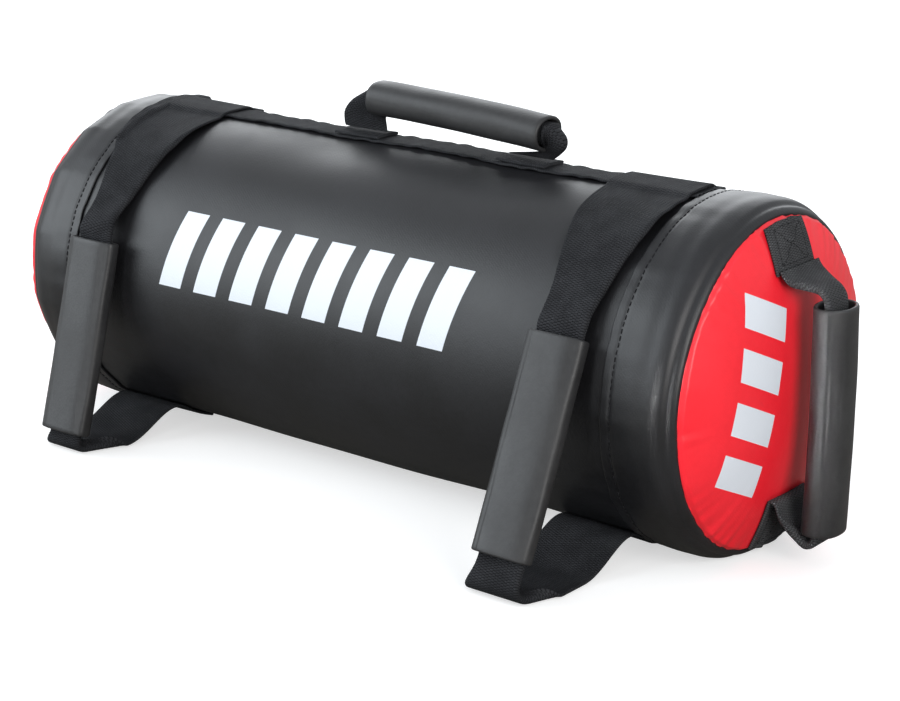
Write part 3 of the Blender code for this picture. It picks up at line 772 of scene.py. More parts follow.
def shellGrid(middle, thickness, roundSteps=3):
    # Round a middle surface of rows along the webbing and columns across it: its face, a rounded
    # edge, its back and a rounded edge. Its face and back lie half the thickness away.
    runAlong = np.gradient(middle, axis=0)
    runAcross = np.gradient(middle, axis=1)
    out = unit(np.cross(runAlong, runAcross))
    half = thickness / 2
    face = middle + out * half
    back = middle - out * half
    angles = np.linspace(math.pi / 2, -math.pi / 2, roundSteps + 2)[1:-1, None]

    def edge(column, sign):
        away = unit(runAcross[:, [column]]) * sign
        turned = away * np.cos(angles) + out[:, [column]] * np.sin(angles)
        return middle[:, [column]] + turned * half

    right = edge(-1, 1)
    left = edge(0, -1)[:, ::-1]
    return np.concatenate([face, right, back[:, ::-1], left], 1)


def shellMesh(name, middle, across, thickness, along=None):
    # The shell with its cut ends closed, each by a strip of quads between its face and its back
    rows, columns = middle.shape[:2]
    points = shellGrid(middle, thickness)
    loop = points.shape[1]
    arc = (loop - 2 * columns) // 2
    if along is None:
        along = lengthAlong(middle[:, columns // 2])
    across = np.broadcast_to(across, (rows, columns))
    right = np.repeat(across[:, -1:], arc, 1)
    left = np.repeat(across[:, :1], arc, 1)
    v = np.concatenate([across, right, across[:, ::-1], left, across[:, :1]], 1)
    uvs = np.stack([np.broadcast_to(along[:, None], v.shape), v], -1).reshape(-1, 2)
    quads, places = gridQuads(rows, loop, False, True)
    faceSets, uvSets = [quads], [uvs[places]]
    # From one rounded edge's middle over the face to the other's, with partners on the back
    chain = np.arange(columns + arc // 2, -(arc - arc // 2) - 1, -1) % loop
    partner = (2 * columns + arc - 1 - chain) % loop
    strip = np.stack([chain[:-1], chain[1:], partner[:-1], partner[1:]], 1)
    # A strip's first and last face have two corners in one place, so they are triangles
    endWays = (
        (0, (1, 0, 2, 3), (0, 1, 3), (0, 1, 2)),
        (rows - 1, (0, 1, 3, 2), (0, 1, 2), (0, 1, 3)),
    )
    for row, order, first, last in endWays:
        faces = strip[:, order] + row * loop
        places = strip[:, order] + row * (loop + 1)
        faceSets += [faces[1:-1], np.stack([faces[0, first], faces[-1, last]])]
        uvSets += [uvs[places[1:-1]], uvs[np.stack([places[0, first], places[-1, last]])]]
    return makeMesh(name, points, faceSets, uvSets)


def foldedAcross(across, flat, turn, radius):
    # Webbing folded behind itself: up to its flat half it is level, then it turns at a radius up to
    # an angle and runs straight. Gives the place across and how far behind.
    turn = np.maximum(turn, 1e-3)
    past = np.maximum(np.abs(across) - flat, 0.0)
    arc = np.minimum(past, radius * turn)
    angle = arc / radius
    rest = past - arc
    sideways = np.minimum(np.abs(across), flat) + radius * np.sin(angle) + rest * np.cos(angle)
    behind = radius * (1 - np.cos(angle)) + rest * np.sin(angle)
    return np.sign(across) * sideways, behind


def ribbonSurface(line, acrossAxis, sideways, proud):
    # Middle surface of webbing along a line: moved sideways along its width and proud of its face
    run = unit(np.gradient(line, axis=0))
    face = unit(np.cross(run, acrossAxis))
    return line[:, None] + acrossAxis * sideways[..., None] + face[:, None] * proud[..., None]


topTape = {"grid": (240, 14), "ease": (0.0, 0.0008), "rise": 0.0011, "thick": 0.0015, "wave": 1.0}


def makeTape(name, node, look):
    # Flat tape lying along the top of the bag, a little wavy along its edges if asked
    low, high = span(node)
    easeAlong, easeAcross = look["ease"]
    x = np.linspace(low[0] + easeAlong, high[0] - easeAlong, look["grid"][0])[:, None]
    across = np.linspace(-1, 1, look["grid"][1])[None, :]
    half = math.asin((high[1] - easeAcross) / bagRadius)
    wave = 0.0005 * np.sin(fullTurn * x / 0.043 + 0.7) * across
    wave = wave + 0.0004 * np.sin(fullTurn * x / 0.021)
    radius = bagRadius + look["rise"] + np.abs(wave * across) * look["wave"]
    middle = onBag(x, across * half, radius)
    mesh = shellMesh(name, middle[:, ::-1], across[:, ::-1] * high[1], look["thick"])
    dress(name, mesh, webBlack, "root", [node])


webThick = 0.0018
alongBag = np.array([1.0, 0, 0])
sideLook = {
    "spacing": 0.0013,
    "columns": 52,
    "half": 0.0241,
    "open": 0.0243,
    "soften": 0.0034,
    "foldRadius": 0.0013,
    "foldTurn": math.radians(172),
    "foldFrom": 0.52,
    "foldWithin": 0.35,
    "bow": 0.0032,
    "bowFrom": 0.3,
    "bowPast": 0.012,
    "edgeLift": 0.0035,
    "edgeRun": 0.024,
    "creaseAbove": 0.004,
    "creaseSlant": 0.30,
    "creaseReach": (0.016, 0.0045),
    "leaveEase": 0.02,
    "fanEnd": math.radians(62),
    "fanRun": math.radians(70),
    "tapeEdge": math.radians(10),
    "tapeEase": math.radians(4),
    "inside": 0.030,
    "floorLine": 0.0016,
    "floorSpare": 0.008,
    "humpReach": 0.060,
    "landing": math.radians(33.0),
    "footEnd": math.radians(17.5),
    "unfold": 0.040,
    "overSeam": math.radians(14.0),
    "seamRise": 0.0019,
    "lapRise": 0.0021,
    "grip": 0.122,
    "lead": 0.006,
}
sideWords = {
    "left": {"tail": 0.005, "flat": 0.0105, "crease": 0.0030, "stray": -0.0055, "fan": 0.20},
    "right": {"tail": 0.012, "flat": 0.0130, "crease": 0.0014, "stray": -0.0050, "fan": 0.10},
}


def sideGripLine(word):
    # The middle of a side grip, the way it hangs, and where the webbing leaves the bag
    low, high = span("side_grip_" + word)
    hang = -np.array(joints["side_grip_slide_" + word]["axis"])
    leave = np.array(joints["side_loop_lift_" + word]["pos_m"])
    return (low + high) / 2, hang, leave


strapRadius = bagRadius + 0.0003 + webThick / 2
sideAcross = np.linspace(-sideLook["half"], sideLook["half"], sideLook["columns"])[None, :]


def softRun(corners, soften, step):
    # A line through corners with its bends softened, and the length along it
    line = softened(evenly(corners, step), soften, step)
    return line, lengthAlong(line)[:, None]


def makeSideUpper(word):
    # From the seam over the bag, then straight down through the grip. It bows away from the bag,
    # folds its edges behind itself on the way, and has a slanting crease just above the grip.
    look = {**sideLook, **sideWords[word]}
    middle, hang, leave = sideGripLine(word)
    x = middle[0]
    bend = middle - hang * (look["grip"] / 2 + look["lead"])
    end = middle + hang * (look["grip"] / 2 - look["inside"])
    leaveTurn = math.atan2(-leave[1], leave[2] - axisHeight)
    startTurn = -look["overSeam"]
    arc = roundTheBag(x, strapRadius, np.linspace(startTurn, leaveTurn, 40))
    line, along = softRun(np.concatenate([arc, [bend], [end]]), look["soften"], look["spacing"])
    onArc = strapRadius * (leaveTurn - startTurn)
    toBend = onArc + np.linalg.norm(bend - leave)
    across = sideAcross
    # Folding starts on the bag and is full where the webbing meets the grip
    start = onArc * look["foldFrom"]
    share = smooth((along - start) / (toBend - start))
    flat = look["open"] + (look["flat"] - look["open"]) * share
    turn = look["foldTurn"] * smooth((along - start) / (look["foldWithin"] * (toBend - start)))
    sideways, behind = foldedAcross(across, flat, turn, look["foldRadius"])
    bowStart, bowEnd = look["bowFrom"] * onArc, toBend + look["bowPast"]
    bow = np.sin(math.pi * np.clip((along - bowStart) / (bowEnd - bowStart), 0, 1)) ** 2
    proud = look["bow"] * bow - behind
    proud = proud + look["edgeLift"] * bow * smooth(across / look["edgeRun"]) * (1 - share)
    slant = along - (toBend - look["creaseAbove"]) + look["creaseSlant"] * across
    ridge = bell(slant, 0, np.where(slant < 0, *look["creaseReach"]))
    proud = proud + look["crease"] * ridge
    turnsAt = startTurn + along / strapRadius
    resting = smooth((onArc - along) / look["leaveEase"] + 0.5)
    proud = proud + bagRelief(x + across, turnsAt) * resting
    # It lies over the top seam's tape and the end band's lap, and fans out a little there
    high = smooth((look["fanEnd"] - turnsAt) / look["fanRun"])
    sideways = sideways * (1 + look["fan"] * high) + look["stray"] * high
    overTape = smooth((look["tapeEdge"] - np.abs(turnsAt)) / look["tapeEase"])
    overLap = smooth((np.abs(x + sideways) - lapX + 0.0035) / 0.003) * resting
    proud = proud + np.maximum(look["seamRise"] * overTape, look["lapRise"] * overLap)
    surface = ribbonSurface(line, alongBag, sideways, proud)
    name = "loop_webbing_" + word
    mesh = shellMesh(name, surface, across, webThick, along[:, 0])
    back = np.array([0, math.cos(leaveTurn), math.sin(leaveTurn)])
    body = ("root", "side_loop_" + word, leave + back * 0.010, leave - back * 0.022)
    dress(name, mesh, webBlack, body, ["side_strap_upper_" + word, "side_strap_" + word])


def makeSideReturn(word):
    # From inside the grip round a bend to the floor, along it, and in one rising wave (a cubic with
    # given slopes at its two ends) to its foot under the bag
    look = {**sideLook, **sideWords[word]}
    middle, hang, _ = sideGripLine(word)
    x = middle[0]
    gripEnd = middle + hang * look["grip"] / 2
    start = gripEnd - hang * (look["inside"] - 0.0008)
    coreEnd = gripEnd + hang * look["tail"]
    lean = math.asin(-hang[1])
    floorLine = look["floorLine"]
    radius = (coreEnd[2] - floorLine) / (1 + math.sin(lean))
    centre = coreEnd + np.array([0, math.cos(lean), -math.sin(lean)]) * radius
    angles = np.linspace(-(math.pi / 2 + lean), 0, 24)
    arc = centre + radius * np.stack([0 * angles, np.sin(angles), -np.cos(angles)], 1)
    liftOff = np.array([x, -(bagRadius + look["floorSpare"]), floorLine])
    footTurns = np.linspace(math.pi - look["landing"], math.pi - look["footEnd"], 14)
    foot = roundTheBag(x, strapRadius, footTurns)
    landing = look["landing"]
    landWay = np.array([0, math.cos(landing), -math.sin(landing)]) * look["humpReach"]
    leaveWay = np.array([0, 1.0, 0]) * look["humpReach"]
    t = np.linspace(0, 1, 30)[:, None]
    hump = liftOff * (2 * t**3 - 3 * t**2 + 1) + leaveWay * (t**3 - 2 * t**2 + t)
    hump = hump + foot[0] * (3 * t**2 - 2 * t**3) + landWay * (t**3 - t**2)
    corners = np.concatenate([[start], arc, hump, foot[1:]])
    line, _ = softRun(corners, look["soften"] * 0.8, look["spacing"])
    line[:, 2] = np.maximum(line[:, 2], floorLine - 0.0004)
    along = lengthAlong(line)[:, None]
    toFold = np.linalg.norm(coreEnd - start) - 0.004
    across = sideAcross
    # Below the grip the webbing opens out, its left half a little before its right one
    unfold = look["unfold"]
    share = smooth((along - toFold - 0.45 * across) / unfold)
    flat = look["flat"] + (look["open"] - look["flat"]) * share
    turn = look["foldTurn"] * (1 - smooth((along - toFold - 0.6 * unfold) / (0.4 * unfold)))
    sideways, behind = foldedAcross(across, flat, turn, look["foldRadius"])
    total = along[-1, 0]
    resting = smooth((along - (total - 0.045)) / 0.02)
    turnsAt = math.pi - look["footEnd"] + (total - along) / strapRadius
    proud = -behind + bagRelief(x + across, np.minimum(turnsAt, math.pi)) * resting
    surface = ribbonSurface(line, alongBag, sideways, proud)
    surface[..., 2] = np.maximum(surface[..., 2], webThick / 2 + 0.0001)
    name = "return_webbing_" + word
    mesh = shellMesh(name, surface, across, webThick, along[:, 0])
    body = ("root", "side_loop_" + word, (x, -0.080, 0.003), (x, gripEnd[1] + 0.011, 0.011))
    nodes = ["side_strap_return_" + word, "side_strap_foot_" + word]
    dress(name, mesh, webBlack, body, nodes)


sleeveGrid = {"outer": 60, "inner": 24, "round": 112}


def sleeveMesh(name, middle, widthAxis, lengthAxis, look):
    # A thick sheet closed into a tube: an outline drawn along its length, outside, over the cut
    # end, inside and back. The outline's two sides are the cosine and sine of an angle, each raised
    # to one power. Soft creases run along it, and it bows a little.
    third = np.cross(lengthAxis, widthAxis)
    wall = look["wall"]
    half = look["length"] / 2
    outer = np.linspace(-half + wall / 2, half - wall / 2, sleeveGrid["outer"])
    inner = np.linspace(half - wall / 2, -half + wall / 2, sleeveGrid["inner"])
    angles = np.linspace(math.pi / 2, -math.pi / 2, 5)[1:-1]
    over = half - wall / 2 + wall / 2 * np.cos(angles)
    t = np.concatenate([outer, over, inner, -over[::-1]])[:, None]
    insetOver = wall / 2 * (1 - np.sin(angles))
    inset = np.concatenate([0 * outer, insetOver, 0 * inner + wall, insetOver[::-1]])[:, None]
    phi = np.linspace(0, fullTurn, sleeveGrid["round"] + 1)[None, :]
    power = 2 / look["square"]
    cosine, sine = np.cos(phi), np.sin(phi)
    a = (look["width"] / 2 - inset) * np.sign(cosine) * np.abs(cosine) ** power
    b = (look["thick"] / 2 - inset) * np.sign(sine) * np.abs(sine) ** power
    share = t / half
    relief = 0.0
    for place, reach, depth, wander in look["creases"]:
        crease = bell(phi, place + wander * np.sin(2.3 * share + place), reach)
        relief = relief - depth * crease * (0.7 + 0.3 * np.sin(5 * share + 3 * place))
    lumps = look["lump"] * np.sin(7 * share + 2 * np.cos(phi)) * np.sin(3 * phi + 2 * share)
    relief = relief + lumps
    length = np.maximum(np.hypot(a, b), 1e-6)
    a = a + relief * a / length
    b = b + relief * b / length + look["bow"] * (1 - share**2)
    points = middle + a[..., None] * widthAxis + t[..., None] * lengthAxis + b[..., None] * third
    uvs = np.stack(np.broadcast_arrays(t, lengthAlong(points[0])[None, :]), -1)
    uvs = np.concatenate([uvs, uvs[:1]])
    return gridMesh(name, points[:, :-1], uvs, True, True)


def makeSleeve(name, middle, widthAxis, lengthAxis, look, body, node):
    mesh = sleeveMesh(name, middle, np.array(widthAxis, float), lengthAxis, look)
    dress(name, mesh, sleeveBlack, body, [node])


# A sleeve's crease: where it lies round the outline, how wide, how deep, and how far it wanders
sideSleeve = {
    "width": 0.037,
    "thick": 0.015,
    "wall": 0.002,
    "length": 0.122,
    "square": 3.0,
    "bow": 0.0006,
    "lump": 0.00016,
    "creases": ((3.99, 0.09, 0.0006, 0.03), (5.55, 0.28, 0.0009, 0.0)),
}


makeTape("top_tape", "top_strip", topTape)
for word in ("left", "right"):
    makeSideUpper(word)
    makeSideReturn(word)
    middle, hang, _ = sideGripLine(word)
    name = "side_sleeve_" + word
    makeSleeve(name, middle, alongBag, -hang, sideSleeve, name, "side_grip_" + word)
print("side loops made")


# Top handle
topSleeve = {
    "width": 0.026,
    "thick": 0.021,
    "wall": 0.0025,
    "length": 0.129,
    "square": 2.3,
    "bow": 0.0010,
    "lump": 0.00012,
    "creases": ((1.2, 0.12, 0.0002, 0.05),),
}
topLook = {
    "pivot": float(joints["top_handle_fold"]["pos_m"][2]),
    "clear": 0.0065,
    "slope": math.radians(2.6),
    "coreHalf": 0.0068,
    "coreSide": 0.0098,
    "webHalf": 0.0011,
    "postWidth": 0.034,
    "bulge": 0.0100,
    "under": 0.0075,
    "underClear": 0.001,
}
topAlong = np.array([math.cos(topLook["slope"]), 0, -math.sin(topLook["slope"])])
topX = joints["top_handle_fold"]["pos_m"][0]
topMiddle = np.array([topX, 0, topLook["pivot"] + topLook["clear"] + topSleeve["thick"] / 2])


def curveThrough(stations, count):
    # A smooth line through stations, of cubics whose slopes come from the stations beside them
    stations = np.asarray(stations, float)
    before, after = 2 * stations[:1] - stations[1:2], 2 * stations[-1:] - stations[-2:-1]
    padded = np.concatenate([before, stations, after])
    pieces = len(stations) - 1
    t = np.linspace(0, pieces, count)
    k = np.minimum(t.astype(int), pieces - 1)
    s = (t - k)[:, None]
    p0, p1, p2, p3 = padded[k], padded[k + 1], padded[k + 2], padded[k + 3]
    square = 2 * p0 - 5 * p1 + 4 * p2 - p3
    cube = 3 * p1 - p0 - 3 * p2 + p3
    return 0.5 * (2 * p1 + (p2 - p0) * s + square * s**2 + cube * s**3)


def topPostStations(side, postX):
    # The doubled webbing's lower edge, upper edge (x, z) and half thicknesses, from foot to grip
    square = np.array([-topAlong[2], 0, topAlong[0]])
    end = topMiddle + topAlong * side * (topSleeve["length"] / 2 + 0.001)
    inner = end - square * topLook["coreHalf"]
    outer = end + square * topLook["coreHalf"]
    below = topSleeve["thick"] / 2 + topLook["underClear"]
    corner = end - topAlong * side * topLook["under"] - square * below
    half = topLook["postWidth"] / 2
    footInner = np.array([postX - side * half, 0, topLook["pivot"] - 0.0006])
    footOuter = np.array([postX + side * half, 0, topLook["pivot"] - 0.0006])
    stations = [(footInner, footOuter, 0.0010, 0.0010)]
    for low, high in ((0.30, 0.03), (0.62, 0.14), (0.90, 0.36), (1.0, 0.62), (1.0, 0.86)):
        bulge = alongBag * side * topLook["bulge"] * math.sin(math.pi * high)
        upper = footOuter + (outer - footOuter) * high + bulge
        swell = topLook["webHalf"] + (topLook["coreSide"] - topLook["webHalf"]) * high
        stations.append((footInner + (corner - footInner) * low, upper, topLook["webHalf"], swell))
    thick = topLook["coreSide"]
    stations.append((inner, outer, thick * 0.8, thick))
    inside = -topAlong * side * 0.012
    stations.append((inner + inside, outer + inside, thick * 0.8, thick * 0.8))
    return [[low[0], low[2], high[0], high[2], thin, thick] for low, high, thin, thick in stations]


def makeTopWebbing():
    # One closed tube through both posts: at each station its section is a lens between a lower and
    # an upper edge, with its own thickness at each, and its two ends are drawn in to a point
    left = topPostStations(-1, postPlaces[0])
    right = topPostStations(1, postPlaces[1])
    stations = curveThrough(np.array(left + right[::-1]), 150)
    low = np.stack([stations[:, 0], 0 * stations[:, 0], stations[:, 1]], 1)
    high = np.stack([stations[:, 2], 0 * stations[:, 0], stations[:, 3]], 1)
    angle = np.linspace(0, fullTurn, 41)[None, :]
    rise = (1 - np.cos(angle)) / 2
    rise = 0.5 + np.sign(rise - 0.5) * 0.5 * np.abs(2 * rise - 1) ** 0.9
    thick = stations[:, 4][:, None] * (1 - rise) + stations[:, 5][:, None] * rise
    side = np.sign(np.sin(angle)) * np.abs(np.sin(angle)) ** 0.75 * thick
    points = low[:, None] * (1 - rise[..., None]) + high[:, None] * rise[..., None]
    points[..., 1] += side
    middle = points[:, :-1].mean(1, keepdims=True)
    first, last = (np.repeat(tip, points.shape[1], 1) for tip in (middle[:1], middle[-1:]))
    points = np.concatenate([first, points, last])
    along = lengthAlong(middle[:, 0])
    along = np.concatenate([along[:1], along, along[-1:]])
    uvs = np.stack(np.broadcast_arrays(along[:, None], lengthAlong(points[20])[None, :]), -1)
    mesh = gridMesh("top_handle_webbing", points[:, :-1], uvs, False, True, True)
    start, end = ((topX, 0, topLook["pivot"] + rise) for rise in (-0.0006, 0.003))
    body = ("root", "top_handle", start, end)
    dress("top_handle_webbing", mesh, webBlack, body, ["top_handle_strap"])


topTab = {"grid": (30, 16), "ease": (0.001, 0.001), "rise": 0.0033, "thick": 0.0017, "wave": 0.0}
makeSleeve("top_sleeve", topMiddle, (0, 1, 0), topAlong, topSleeve, "top_handle", "top_handle_grip")
makeTopWebbing()
for word in ("left", "right"):
    makeTape("handle_tab_" + word, "top_handle_tab_" + word, topTab)
print("top handle made")


# End handles
endSleeve = {
    "width": 0.030,
    "thick": 0.022,
    "wall": 0.0025,
    "length": 0.130,
    "square": 2.2,
    "bow": 0.0012,
    "lump": 0.00015,
    "creases": ((0.35, 0.05, 0.0005, 0.0), (2.4, 0.2, 0.0002, 0.05)),
}
endLook = {
    "columns": 44,
    "spacing": 0.0012,
    "soften": 0.0028,
    "flat": 0.0085,
    "foldRadius": 0.0013,
    "foldTurn": math.radians(170),
    "narrowing": (0.024, 0.034),
    "folding": (0.010, 0.016),
    "bow": 0.0016,
}


def patchSurface(side, sign, inner):
    # Middle surface of a sewn patch on the cap: rows inwards from the rim, which is a circle, and
    # columns across it
    share = np.linspace(0, 1, 30)[:, None]
    across = np.linspace(-1, 1, 30)[None, :] * (patchHalf - 0.001)
    rim = np.sqrt(patchRim**2 - across**2)
    up = rim + (inner - rim) * share
    turn = np.arctan2(-across, sign * up)
    radius = np.hypot(across, up)
    out = dome(radius, side) + capRelief(radius, turn) + 0.0013
    return np.stack([side * out, across + 0 * up, axisHeight + sign * up], -1), across


def makePatches(word, side):
    for sign, place, inner in patchSides:
        middle, across = patchSurface(side, sign, inner)
        if side * sign > 0:
            middle = middle[:, ::-1]
        mesh = shellMesh(f"{place}_webbing_patch_{word}", middle, across, webThick)
        # The patches take the webbing copy with painted light
        dress(mesh.name, mesh, litWebbing, "root", [f"{place}_patch_{word}"])


def makeEndHandle(word, side):
    # The sleeve, and its webbing: out from the upper patch, down through the sleeve, round below it
    # and back up to the lower patch. Its edges are folded behind itself between the patches.
    low, high = span("end_grip_" + word)
    middle = (low + high) / 2
    topZ, bottomZ = high[2], low[2]
    name = "end_sleeve_" + word
    up = np.array([0, 0, 1.0])
    makeSleeve(name, middle, (0, -side, 0), up, endSleeve, name, "end_grip_" + word)
    gripX = abs(middle[0])
    upperX, lowerX = (float(dome(inner, side)) + 0.0013 for inner in (patchUpper, patchLower))
    upperZ, lowerZ = axisHeight + patchUpper, axisHeight - patchLower
    corners = [
        (upperX + 0.0006, upperZ + 0.0030),
        (upperX + 0.0014, upperZ + 0.0002),
        (upperX + 0.0050, upperZ - 0.0020),
        (gripX - 0.0042, topZ + 0.0078),
        (gripX - 0.0006, topZ + 0.0036),
        (gripX, topZ - 0.003),
        (gripX, bottomZ + 0.004),
        (gripX - 0.001, bottomZ - 0.005),
        (gripX - 0.006, bottomZ - 0.008),
        (gripX - 0.013, bottomZ - 0.001),
        (lowerX + 0.0045, lowerZ - 0.010),
        (lowerX + 0.0034, lowerZ - 0.0015),
        (lowerX + 0.0017, lowerZ + 0.0008),
        (lowerX, lowerZ + 0.0002),
    ]
    corners = [(side * x, 0.0, z) for x, z in corners]
    line, along = softRun(corners, endLook["soften"], endLook["spacing"])
    total = along[-1, 0]
    across = np.linspace(-1, 1, endLook["columns"])[None, :] * (patchHalf - 0.001)
    # It narrows and folds over a short way from each patch: the upper one first, then the lower one
    upperWay, lowerWay = endLook["narrowing"]
    share = smooth(along / upperWay) * smooth((total - along) / lowerWay)
    wide = patchHalf - 0.0008
    flat = wide + (endLook["flat"] - wide) * share
    upperWay, lowerWay = endLook["folding"]
    turn = endLook["foldTurn"] * smooth(along / upperWay) * smooth((total - along) / lowerWay)
    sideways, behind = foldedAcross(across, flat, turn, endLook["foldRadius"])
    proud = -behind + endLook["bow"] * share
    surface = ribbonSurface(line, np.array([0, float(side), 0]), sideways, proud)
    name = "lit_end_webbing_" + word
    mesh = shellMesh(name, surface, across, webThick, along[:, 0])
    start, end = ((side * x, 0, axisHeight) for x in (upperX + 0.001, gripX - 0.010))
    body = ("root", "end_loop_" + word, start, end)
    # The end webbing takes the copy with painted light
    dress(name, mesh, litWebbing, body, ["end_strap_" + word])


for side, word in bothEnds:
    makePatches(word, side)
for side, word in bothEnds:
    makeEndHandle(word, side)
print("end handles made")


# Stitches: a short rounded dash, repeated along a line on a surface
ringStitch = {"length": 0.0029, "radius": 0.00042, "pitch": 0.0038}
patchStitch = {"length": 0.0024, "radius": 0.00028, "pitch": 0.0028}


def dashShape(length, radius):
    # A capsule of three rings and two poles along local X
    places = np.array([-0.38, 0.0, 0.38]) * length
    sizes = np.array([0.85, 1.0, 0.85]) * radius
    angles = np.arange(6) * fullTurn / 6
    x, y, z = places[:, None], sizes[:, None] * np.cos(angles), sizes[:, None] * np.sin(angles)
    rings = np.stack(np.broadcast_arrays(x, y, z), -1)
    points = np.concatenate([[[-length / 2, 0, 0]], rings.reshape(-1, 3), [[length / 2, 0, 0]]])
    k = np.arange(6)
    n = (k + 1) % 6
    quads = np.concatenate([np.stack([r + k, r + 6 + k, r + 6 + n, r + n], 1) for r in (1, 7)])
    first = np.stack([0 * k, 1 + k, 1 + n], 1)
    last = np.stack([0 * k + 19, 13 + n, 13 + k], 1)
    return points, quads, np.concatenate([first, last])


def makeStitches(name, rows, look):
    # Every row is a line with the surface's outward direction at each of its points
    shape, quads, triangles = dashShape(look["length"], look["radius"])
    allPoints = []
    for line, out in rows:
        along = lengthAlong(line)
        count = max(1, int(along[-1] / look["pitch"]))
        places = (np.arange(count) + 0.5) * along[-1] / count
        run = unit(readAt(places + 0.0004, along, line) - readAt(places - 0.0004, along, line))
        acrossAxis = unit(np.cross(unit(readAt(places, along, out)), run))
        axes = np.stack([run, acrossAxis, np.cross(run, acrossAxis)], 1)
        allPoints.append((readAt(places, along, line)[:, None] + shape @ axes).reshape(-1, 3))
    points = np.concatenate(allPoints)
    shift = (np.arange(len(points) // len(shape)) * len(shape))[:, None, None]
    faceSets = [(quads[None] + shift).reshape(-1, 4), (triangles[None] + shift).reshape(-1, 3)]
    uvSets = [np.zeros((*faces.shape, 2)) for faces in faceSets]
    dress(name, makeMesh(name, points, faceSets, uvSets), threadBlack, "root")


def ringStitchRow(side):
    # A line round the band at a fixed distance from its seam, on its outer face
    turn = np.linspace(-math.pi, math.pi, 500)
    x = np.full_like(turn, lapX + ringLook["stitchOffset"])
    share = (x - lapX) / (rimX - ringLook["rimRound"] - lapX)
    radius = ringRadius + ringLook["swell"] * smooth(share / 0.42)
    x, radius = ringShape(side)(x, radius, turn)
    line = onBag(side * x, turn, radius + 0.0001, 0.0006)
    out = np.stack([0 * turn, -np.sin(turn), np.cos(turn)], 1)
    return line, out


def patchRows(side, sign, inner):
    # A box with crossed diagonals, and two close rows at the inner edge, on a sewn patch
    middle, _ = patchSurface(side, sign, inner)
    out = unit(np.cross(np.gradient(middle, axis=0), np.gradient(middle, axis=1)))
    out = out * np.sign(out[..., :1]) * side
    face = middle + out * (webThick / 2)

    def line(a, b):
        share = np.linspace(0, 1, 24)
        places = [(a[k] + (b[k] - a[k]) * share) * (face.shape[k] - 1) for k in (0, 1)]
        i, j = np.round(places).astype(int)
        return face[i, j], out[i, j]

    low, high, left, right = 0.12, 0.84, 0.14, 0.86
    corners = ((low, left), (low, right), (high, right), (high, left))
    made = [line(corners[k], corners[(k + 1) % 4]) for k in range(4)]
    made += [line(corners[0], corners[2]), line(corners[1], corners[3])]
    made += [line((place, 0.08), (place, 0.92)) for place in (0.93, 0.97)]
    return made


for side, word in bothEnds:
    makeStitches("ring_stitches_" + word, [ringStitchRow(side)], ringStitch)
    rows = [row for sign, _, inner in patchSides for row in patchRows(side, sign, inner)]
    makeStitches("patch_stitches_" + word, rows, patchStitch)
print("stitches made")


# Filling, held inside the covers
fillLook = {
    "skin": 0.0016,
    "wrap": 0.018,
    "gap": 0.0004,
    "bagWall": 0.0008,
    "sandGap": 0.0003,
    "bagLift": 0.018,
    "sandLift": 0.019,
    "turns": 96,
    "rows": 40,
}


def solidSection(corners):
    # A closed section through corners of (x, radius), with more points along its long sides
    corners = np.asarray(corners + corners[:1], float)
    made = []
    for a, b in zip(corners[:-1], corners[1:]):
        count = fillLook["rows"] if abs(b[0] - a[0]) > 0.1 else 3
        share = np.linspace(0, 1, count + 1)[:-1, None]
        made.append(a + (b - a) * share)
    made = np.concatenate(made)
    return np.column_stack([made, 0 * made[:, 0]])


def makeFilling():
    # The padding is a tube, the inner bag a cup closed by its lid, and the sand a drum inside it
    look = fillLook
    skin = bagRadius - look["skin"]
    bore = skin - look["wrap"]
    end = float(span("padding_wrap")[1][0])
    wrap = solidSection([(-end, skin), (end, skin), (end, bore), (-end, bore)])
    wrap[:, 2] = np.where(wrap[:, 1] > bore + 0.001, look["skin"] + 0.0016, look["wrap"])
    mesh = turnedPiece("wadding_wrap", wrap, 0.0, look["turns"])
    dress("wadding_wrap", mesh, foamGrey, "root", ["padding_wrap"])

    cloth = bore - look["gap"]
    inside = cloth - look["bagWall"]
    bagEnd = float(span("inner_bag")[1][0])
    bottom = look["bagWall"] - bagEnd
    cup = [(bagEnd, cloth), (-bagEnd, cloth), (-bagEnd, 0)]
    cup += [(bottom, 0), (bottom, inside), (bagEnd, inside)]
    drums = []
    for node, radius in (("inner_bag_lid", cloth), ("sand_fill", inside - look["sandGap"])):
        low, high = span(node)
        drums.append([(low[0], 0), (low[0], radius), (high[0], radius), (high[0], 0)])
    for name, profile, lift, finish, slotName, node in (
        ("sand_bag", cup, look["bagLift"], clothGrey, "inner_cloth", "inner_bag"),
        ("sand_bag_lid", drums[0], look["bagLift"], clothGrey, "inner_cloth", "inner_bag_lid"),
        ("sand", drums[1], look["sandLift"], sandDry, "sand", "sand_fill"),
    ):
        mesh = turnedPiece(name, solidSection(profile), lift, look["turns"], weld=True)
        dress(name, mesh, finish, "root", [node])


def makeDiscs():
    # Padding behind each cap: a flat back, and a face that follows the cap just beneath it
    low, high = span("padding_disc_right")
    edge = float(high[1])
    radii = edge * (1 - np.linspace(1, 0, 24) ** 1.6)

    def shape(x, radius, turn):
        # The face takes on the cap's dips, where its relief is below 0, and the back stays flat
        return x + (x > low[0] + 0.001) * np.minimum(capRelief(radius, turn), 0.0), radius

    for side, word in bothEnds:
        face = np.column_stack([dome(radii, side) - 0.0021, radii])[::-1]
        profile = np.concatenate([[(low[0], 0.0)], [(low[0], edge / 2)], [(low[0], edge)], face])
        section = np.column_stack([profile, 0 * profile[:, 0]])
        name = "wadding_disc_" + word
        turns = fillLook["turns"]
        mesh = turnedPiece(name, section, 0.0, turns, side, closed=False, shape=shape, weld=True)
        disc = dress(name, mesh, foamGrey, "root", ["padding_disc_" + word])


makeFilling()
makeDiscs()
print("filling made")


